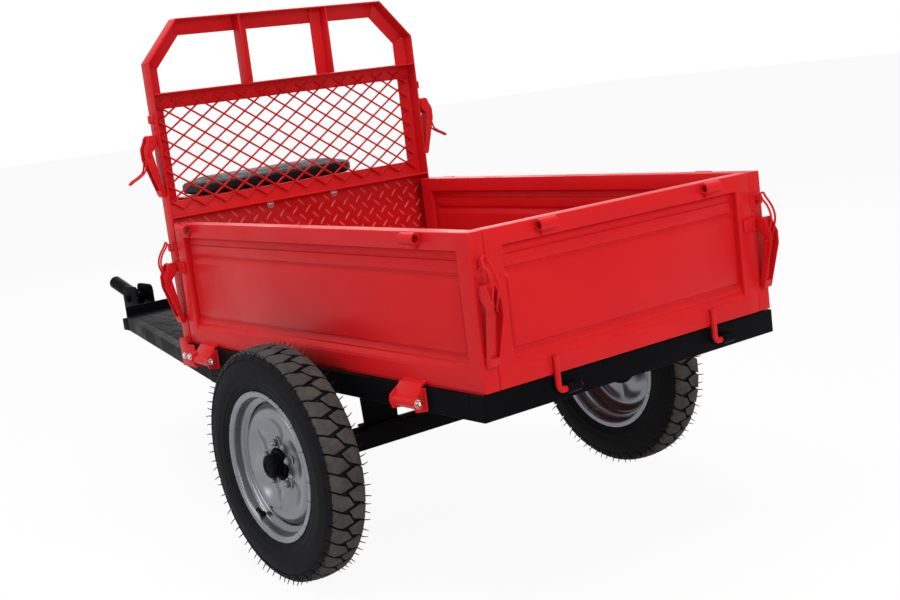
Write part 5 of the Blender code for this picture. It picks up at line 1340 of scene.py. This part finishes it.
def bracketFittings(bm, side):
    low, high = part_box("axle_bracket_" + side)
    middle = (low.y + high.y) / 2
    for x in (low.x + 0.020, high.x - 0.020):
        for y in (middle - 0.013, middle + 0.013):
            hexNut(bm, (x, y, high.z - 0.0062), (0, 0, -1), 0.0065, 0.006)
    for y in (middle - 0.0042, middle + 0.0042):
        addWeld(bm, (low.x + 0.012, y, high.z - 0.0066), (high.x - 0.012, y, high.z - 0.0066), 0.0022, 3)


def hitchWelds(bm):
    low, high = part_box("hitch_bracket")
    half = 0.031
    for sign in sides.values():
        for step in (0, 1):
            inner, lift = sign * (half - 0.0082 * step), low.z + 0.0085 * step
            addWeld(bm, (inner, low.y + 0.004, lift), (inner, high.y - 0.006, lift), 0.0018,
                    int(sign * 10 + step))
        back = low.y + 0.0005
        addWeld(bm, (sign * half, back, low.z + 0.004), (sign * half, back, low.z + 0.038), 0.0022, sign)


towTubeSet = {"tilt": 15, "back": -0.024, "front": 0.166, "radius": 0.022, "bore": 0.015}


def makeTowTube():
    tilt = math.radians(towTubeSet["tilt"])
    way = Vector((0, math.cos(tilt), math.sin(tilt)))
    pin = Vector((0, towPin["y"], towPin["z"]))
    look = towTubeSet
    bm = bmesh.new()
    addSpun(bm, tubeProfile(look["back"], look["front"], look["bore"], look["radius"], 0.0010, 0.0014),
            pin, way, 56)
    for sign in sides.values():  # the collars round its pin
        ring = [(0.0212, 0.0084), (0.0212, 0.0112), (0.0226, 0.0118), (0.0229, 0.0112), (0.0229, 0.0084),
                (0.0212, 0.0084)]
        addSpun(bm, ring, pin, (sign, 0, 0), 28)
    settle(shownMesh("towTubeTurned", bm, [black]), bodyOf("tow_tube"), "black_paint", "tow_tube")


def memberFittings(bm, node):
    # the rear member's open ends are closed by small plates
    railWelds(bm, node)
    if node == "rear_cross_member":
        low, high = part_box(node)
        for x in (low.x + 0.0003, high.x - 0.0033):
            addBox(bm, (x, low.y + 0.0022, low.z + 0.0004), (x + 0.0030, high.y - 0.0003, high.z - 0.0004))


def floorTongue(bm):
    # between the posts the floor goes on as far as the front panel
    low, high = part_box("deck_floor")
    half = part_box("headboard_post_right")[0].x - 0.0007
    addBox(bm, (-half, high.y - 0.0005, low.z), (half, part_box("front_panel")[0].y - 0.0004, high.z))


def makeFrame():
    softCopy("frontTearPanel", "front_panel", 0.0004, "red_paint", frontTears, finishes=[red, tearHighlightRed])
    softCopy("footTearPlate", "foot_plate", 0.0007, "black_paint", footTears)
    softCopy("deckFloorSheet", "deck_floor", 0.0004, "red_paint", floorTongue)
    for side in sides:
        softCopy("chassisRail_" + side, "chassis_rail_" + side, 0.0016, "black_paint", segments=3)
        softCopy("drawbarRail_" + side, "drawbar_rail_" + side, 0.0014, "black_paint", segments=3)
        softCopy("axleBracket_" + side, "axle_bracket_" + side, 0.0010, "black_paint",
                 lambda bm, side=side: bracketFittings(bm, side))
    for row in ("rear", "axle", "front"):
        node = row + "_cross_member"
        softCopy("crossMember_" + row, node, 0.0016, "black_paint",
                 lambda bm, node=node: memberFittings(bm, node), 3)
    softCopy("drawbarCrossBar", "drawbar_cross_bar", 0.0014, "black_paint", segments=3)
    softCopy("axleBeamSquare", "axle_beam", 0.0022, "black_paint", axleWelds, 3)
    softCopy("hitchCheeks", "hitch_bracket", 0.0010, "black_paint", hitchWelds)
    makeTowTube()


towPin = {"y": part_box("hitch_bracket")[1].y - 0.040, "z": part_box("hitch_bracket")[0].z + 0.068}
makeFrame()
print("frame and drawbar made")


def addWire(bm, points, radius, smooth=True, resolution=6):
    # a round wire led smoothly through the points
    curve = bpy.data.curves.new("wirePath", "CURVE")
    curve.dimensions = "3D"
    curve.bevel_depth = radius
    curve.bevel_resolution = 4
    curve.resolution_u = resolution
    curve.use_fill_caps = True
    spline = curve.splines.new("BEZIER" if smooth else "POLY")
    if smooth:
        spline.bezier_points.add(len(points) - 1)
        for spot, point in zip(spline.bezier_points, points):
            spot.co = point
            spot.handle_left_type = spot.handle_right_type = "AUTO"
    else:
        spline.points.add(len(points) - 1)
        for spot, point in zip(spline.points, points):
            spot.co = (*point, 1)
    holder = bpy.data.objects.new("wirePath", curve)
    bpy.context.scene.collection.objects.link(holder)
    bpy.context.view_layer.update()
    shape = bpy.data.meshes.new_from_object(holder.evaluated_get(bpy.context.evaluated_depsgraph_get()))
    wire = bmesh.new()
    wire.from_mesh(shape)
    bmesh.ops.remove_doubles(wire, verts=wire.verts, dist=0.00002)
    mergeInto(bm, wire)
    bpy.data.objects.remove(holder)
    bpy.data.curves.remove(curve)
    bpy.data.meshes.remove(shape)


# the bails' route, out from the face and up from the lever's top, closed or hanging free
bailSet = {"half": 0.0065, "loop": 0.0045,
           "closed": [(0.0312, -0.0435), (0.038, -0.020), (0.043, 0.004), (0.036, 0.026), (0.021, 0.046),
                      (0.0185, 0.053)],
           "free": [(0.0312, -0.0525), (0.040, -0.064), (0.047, -0.084), (0.060, -0.094), (0.080, -0.104),
                    (0.088, -0.109)]}


def makeBail(name, place):
    look = latchSet
    route = bailSet["free" if "upper" in name else "closed"]
    half = bailSet["half"]
    pin = Vector((look["width"] / 2, -look["bailOut"], look["bailUp"]))
    side = [pin, Vector((half + 0.0030, pin.y, pin.z))]
    side += [Vector((half, -out, up)) for out, up in route[:-1]]
    out, up = route[-1]
    side.append(Vector((bailSet["loop"], -out, up)))
    points = side + [Vector((-p.x, p.y, p.z)) for p in reversed(side)]
    bm = bmesh.new()
    addWire(bm, points, look["wire"] / 2 - 0.00004)
    for sign in sides.values():
        addRound(bm, (sign * (look["width"] / 2 - 0.0002), pin.y, pin.z), (1, 0, 0), 0.0030, 0.0004, 16)
    bmesh.ops.transform(bm, matrix=place, verts=bm.verts)
    node = "latch_bail_" + name
    settle(shownMesh("latchBail_" + name, bm, [red]), bodyOf(node), "red_paint", node)


# (out, up) from the latch's spot: the lever's back is hollowed to this line, with a web along it
leverSet = {"head": (0.0060, -0.0220), "elbow": (0.0225, -0.0400), "foot": (0.0060, -0.1330), "web": 0.0022}


def carve(bm, cutter):
    # the mesh with the cutter taken out of it
    pair = []
    for source in (bm, cutter):
        data = bpy.data.meshes.new("carving")
        source.to_mesh(data)
        source.free()
        item = bpy.data.objects.new("carving", data)
        bpy.context.scene.collection.objects.link(item)
        pair.append(item)
    step = pair[0].modifiers.new("cut", "BOOLEAN")
    step.operation = "DIFFERENCE"
    step.solver = "EXACT"
    step.object = pair[1]
    cut = bpy.data.meshes.new_from_object(pair[0].evaluated_get(bpy.context.evaluated_depsgraph_get()))
    result = bmesh.new()
    result.from_mesh(cut)
    for item in pair:
        bpy.data.objects.remove(item)
    bpy.data.meshes.remove(cut)
    return result


def leverBack():
    # the room behind the lever's arm, and the web that closes the arm towards it; X across, -Y outwards
    look = leverSet
    upright = Matrix(((0, 0, 1, 0), (-1, 0, 0, 0), (0, 1, 0, 0), (0, 0, 0, 1)))
    room = bmesh.new()
    behind = -0.01
    outline = [look["head"], look["elbow"], look["foot"], (behind, look["foot"][1]),
               (behind, look["head"][1])]
    addOutline(room, outline, upright @ Matrix.Translation((0, 0, -0.02)), 0.04)
    web = bmesh.new()
    elbow, foot = Vector(look["elbow"]), Vector(look["foot"])
    out = Vector((look["web"], 0))
    addOutline(web, [elbow - out * 0.1, elbow + out * 1.1, foot + out * 1.1 - Vector((0, 0.004)),
                     foot - out * 0.1 - Vector((0, 0.002))],
               upright @ Matrix.Translation((0, 0, -0.0102)), 0.0204)
    return room, web


def makeLever(name, place):
    # the tapered channel from the node's own shape, slimmed behind, with its pins' heads
    look = latchSet
    node = "latch_lever_" + name
    room, web = leverBack()
    bmesh.ops.transform(room, matrix=place, verts=room.verts)
    bmesh.ops.recalc_face_normals(room, faces=room.faces)
    bm = roundEdges(carve(copyOf(node, 0.3), room), 0.0006, 2, 50, 1.2)
    addPart(bm, web, place)
    pins = bmesh.new()
    for sign in sides.values():
        for out, up, radius in ((look["pinOut"], look["pinUp"], look["pinHead"]),
                                (look["bailOut"], look["bailUp"], look["bailHead"])):
            dome = [(0, 0), (0, radius), (0.0003, radius), (0.0008, radius * 0.8), (0.0010, radius * 0.4),
                    (0.0010, 0)]
            addSpun(pins, [(look["width"] / 2 + reach, size) for reach, size in dome], (0, -out, up),
                    (sign, 0, 0), 20)
    bmesh.ops.transform(pins, matrix=place, verts=pins.verts)
    mergeInto(bm, pins)
    settle(shownMesh("latchLever_" + name, bm, [red]), bodyOf(node), "red_paint", node)


def makeLatches():
    outside = panelInside + panelSet["thickness"]
    for side, sign in sides.items():
        places = {"rear_": latchPlace((sign * rearLatchX, boxRear, lowLatchTop), 0),
                  "front_": latchPlace((sign * outside, sideLatchY, lowLatchTop), sign),
                  "upper_": latchPlace((sign * headHalf, sideLatchY, highLatchTop), sign)}
        for row, place in places.items():
            makeLever(row + side, place)
            makeBail(row + side, place)


rodSet = {"rod": 0.0064, "tube": 0.0105, "bore": 0.0070, "bend": 0.012}


def makeTailHinges():
    for side in sides:
        rod, tube = "tail_hinge_rod_" + side, "tail_hinge_tube_" + side
        low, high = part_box(rod)
        tubeLow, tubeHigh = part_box(tube)
        y, z = (tubeLow.y + tubeHigh.y) / 2, (tubeLow.z + tubeHigh.z) / 2
        x = low.x + rodSet["rod"]
        bend = rodSet["bend"]
        corner = [(x + bend - bend * math.cos(turn), z + bend - bend * math.sin(turn))
                  for turn in (math.radians(step * 11.25) for step in range(9))]
        route = [(x, high.z - 0.0004)] + corner + [(tubeHigh.x + 0.0035, z)]
        bm = bmesh.new()
        addWire(bm, [Vector((a, y, b)) for a, b in route], rodSet["rod"], smooth=False)
        for sign in sides.values():
            addWeld(bm, (x + sign * 0.0052, boxRear + 0.0004, panelLow + 0.006),
                    (x + sign * 0.0052, boxRear + 0.0004, high.z - 0.002), 0.0021, int(x * 100) + sign)
        settle(shownMesh("tailHingeRod_" + side, bm, [red]), bodyOf(rod), "red_paint", rod)
        bm = bmesh.new()
        start, end, member = tubeLow.x, tubeHigh.x, boxRear + 0.0042
        addSpun(bm, tubeProfile(start, end, rodSet["bore"], rodSet["tube"], 0.0006, 0.0008), (0, y, z),
                (1, 0, 0), 36)
        for height in (z - 0.0062, z + 0.0062):
            addWeld(bm, (start + 0.002, member, height), (end - 0.002, member, height), 0.0022, 7)
        settle(shownMesh("tailHingeTube_" + side, bm, [black]), bodyOf(tube), "black_paint", tube)


def makeSideHinges():
    for side, sign in sides.items():
        for end in ("rear", "front"):
            node = "side_hinge_" + end + "_" + side
            low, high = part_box(node)

            def details(bm, low=low, high=high, sign=sign):
                wall = sign * (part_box("chassis_rail_right")[1].x + 0.0004)
                for y in (low.y + 0.006, high.y - 0.006):
                    addWeld(bm, (wall, y, low.z + 0.002), (wall, y, high.z - 0.003), 0.0020, int(y * 1000))
            softCopy("sideHinge_" + end + "_" + side, node, 0.0006, "red_paint", details)
            x = sign * (panelInside + panelSet["thickness"] + hingeSet["out"])
            bm = bmesh.new()
            hexNut(bm, (x, high.y - 0.0060, hingeSet["height"]), (0, 1, 0), 0.0082, 0.0052)
            hexNut(bm, (x, low.y + 0.0062, hingeSet["height"]), (0, -1, 0), 0.0082, 0.0056)
            settle(shownMesh("hingeBolt_" + end + "_" + side, bm, [zinc]), bodyOf(node), "zinc")


makeLatches()
makeTailHinges()
makeSideHinges()
print("latches and hinges made")


# the cushion starts a little smaller than its node and swells; sizes in metres
cushionSet = {"start": 0.985, "voxel": 0.005, "pressure": 3.0, "frames": 20, "cap": 0.0035, "welt": 0.0017,
              "weltHeight": 0.026, "weltIn": 0.0020, "corner": 0.075, "fillReach": 0.034, "fillShare": 1.1,
              "puckerBand": 0.014, "puckerDepth": 0.0016}


def swollen(piece):
    look = cushionSet
    start = [vert.co.copy() for vert in piece.data.vertices]
    cloth = piece.modifiers.new("swell", "CLOTH")
    cloth.settings.use_pressure = True
    cloth.settings.uniform_pressure_force = look["pressure"]
    cloth.settings.effector_weights.gravity = 0
    cloth.settings.quality = 4
    cloth.settings.tension_stiffness = 12
    cloth.settings.compression_stiffness = 12
    cloth.collision_settings.use_collision = False
    scene = bpy.context.scene
    for step in range(1, look["frames"] + 1):
        scene.frame_set(step)
    held = bpy.data.meshes.new_from_object(piece.evaluated_get(bpy.context.evaluated_depsgraph_get()))
    places = [vert.co.copy() for vert in held.vertices]
    piece.modifiers.remove(cloth)
    bpy.data.meshes.remove(held)
    scene.frame_set(1)
    for vert, before, after in zip(piece.data.vertices, start, places):
        move = after - before
        vert.co = before + move * min(1, look["cap"] / max(move.length, 1e-9))


def fillSides(bm, low, high):
    # the stuffing presses the sides out until they stand nearly upright
    middle, half = (low + high) / 2, (high - low) / 2
    corner, reach = cushionSet["corner"], cushionSet["fillReach"]
    for vert in bm.verts:
        away = Vector((vert.co.x - middle.x, vert.co.y - middle.y))
        past = Vector((abs(away.x) - half.x + corner, abs(away.y) - half.y + corner))
        curved = Vector((max(past.x, 0), max(past.y, 0)))
        inset = corner - curved.length - min(max(past.x, past.y), 0)
        if inset > reach or curved.length < 1e-6:
            continue
        outward = curved.normalized()
        push = cushionSet["fillShare"] * inset * (1 - inset / reach)
        vert.co.x += math.copysign(outward.x, away.x) * push
        vert.co.y += math.copysign(outward.y, away.y) * push


def makeCushion():
    look = cushionSet
    low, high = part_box("seat_cushion")
    middle = (low + high) / 2
    bm = copyOf("seat_cushion", 0.1)
    bmesh.ops.scale(bm, vec=Vector((1, 1, 1)) * look["start"], space=Matrix.Translation(-middle),
                    verts=bm.verts)
    piece = shownMesh("seatCushionPadded", bm, [vinyl], 180)
    bpy.context.view_layer.objects.active = piece
    piece.select_set(True)
    piece.data.remesh_voxel_size = look["voxel"]
    bpy.ops.object.voxel_remesh()
    swollen(piece)
    bm = bmesh.new()
    bm.from_mesh(piece.data)
    bmesh.ops.smooth_vert(bm, verts=bm.verts, factor=0.5, use_axis_x=True, use_axis_y=True,
                          use_axis_z=True)
    fillSides(bm, low, high)
    size = high - low
    swell = [Vector((min(v.co[i] for v in bm.verts), max(v.co[i] for v in bm.verts))) for i in range(3)]
    for vert in bm.verts:
        for i in range(3):
            share = (vert.co[i] - swell[i][0]) / (swell[i][1] - swell[i][0])
            vert.co[i] = low[i] + share * size[i]
        # the underside lies flat on the pan, and shallow puckers run in from the welt
        vert.co.z = max(vert.co.z, low.z + 0.0004)
        rim = abs(vert.co.z - low.z - look["weltHeight"]) / look["puckerBand"]
        if rim < 1:
            angle = math.atan2(vert.co.y - middle.y, vert.co.x - middle.x)
            pucker = noise.noise(Vector((math.cos(angle) * 9, math.sin(angle) * 9, vert.co.z * 60)))
            inward = Vector((middle.x - vert.co.x, middle.y - vert.co.y, 0)).normalized()
            vert.co += inward * max(0, pucker) * look["puckerDepth"] * (1 - rim)
    bmesh.ops.subdivide_edges(bm, edges=bm.edges, cuts=1, use_grid_fill=True, smooth=0.6)
    welt = weltRoute(low, high, look["weltHeight"])
    addWire(bm, welt, look["welt"], resolution=3)
    for face in bm.faces:
        face.smooth = True
    bm.to_mesh(piece.data)
    bm.free()
    settle(piece, bodyOf("seat_cushion"), "seat_vinyl", "seat_cushion")


def weltRoute(low, high, lift):
    # the sewn edge: a closed round along the widest line of the cushion's sides
    corner = cushionSet["corner"]
    radius = corner - cushionSet["weltIn"]
    left, right, near, far = low.x + corner, high.x - corner, low.y + corner, high.y - corner
    points = []
    for quarter, (x, y) in enumerate(((right, far), (left, far), (left, near), (right, near))):
        for step in range(7):
            turn = math.radians(90 * quarter + 15 * step)
            points.append(Vector((x + radius * math.cos(turn), y + radius * math.sin(turn), low.z + lift)))
    return points + [points[0].copy()]


def panFittings(bm):
    low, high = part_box("seat_pan")
    for sign in sides.values():
        x = sign * (high.x - 0.06)
        hexNut(bm, (x, (low.y + high.y) / 2, high.z - 0.0032), (0, 0, -1), 0.0075, 0.0065)
    y, z = low.y + 0.0034, high.z - 0.0035
    addWeld(bm, (low.x + 0.01, y, z), (high.x - 0.01, y, z), 0.0020, 12, 1.0)


def makeSeat():
    softCopy("seatPanFolded", "seat_pan", 0.0009, "red_paint", panFittings)
    for side in sides:
        node = "seat_bolt_" + side
        low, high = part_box(node)
        x, z = (low.x + high.x) / 2, (low.z + high.z) / 2
        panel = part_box("front_panel")
        bm = bmesh.new()
        hexNut(bm, (x, panel[0].y - 0.0002, z), (0, -1, 0), 0.0077, 0.0062)
        hexNut(bm, (x, high.y - 0.0051, z), (0, 1, 0), 0.0077, 0.0036, domed=False)
        addRound(bm, (x, (low.y + high.y) / 2, z), (0, 1, 0), 0.0038, (high.y - low.y) * 0.7, 16)
        settle(shownMesh("seatBoltDomed_" + side, bm, [zinc]), bodyOf(node), "zinc", node)
    makeCushion()


makeSeat()
print("seat made")


def dressFrame():
    # every part that still shows from the CAD frame gets its finish
    slotOf = {row["node"]: row["material_slot"] for row in frame["record"]["subparts"]}
    for name, obj in nodes.items():
        if not obj.hide_render:
            obj.data.materials.clear()
            obj.data.materials.append(finishOf[slotOf[name]])


dressFrame()
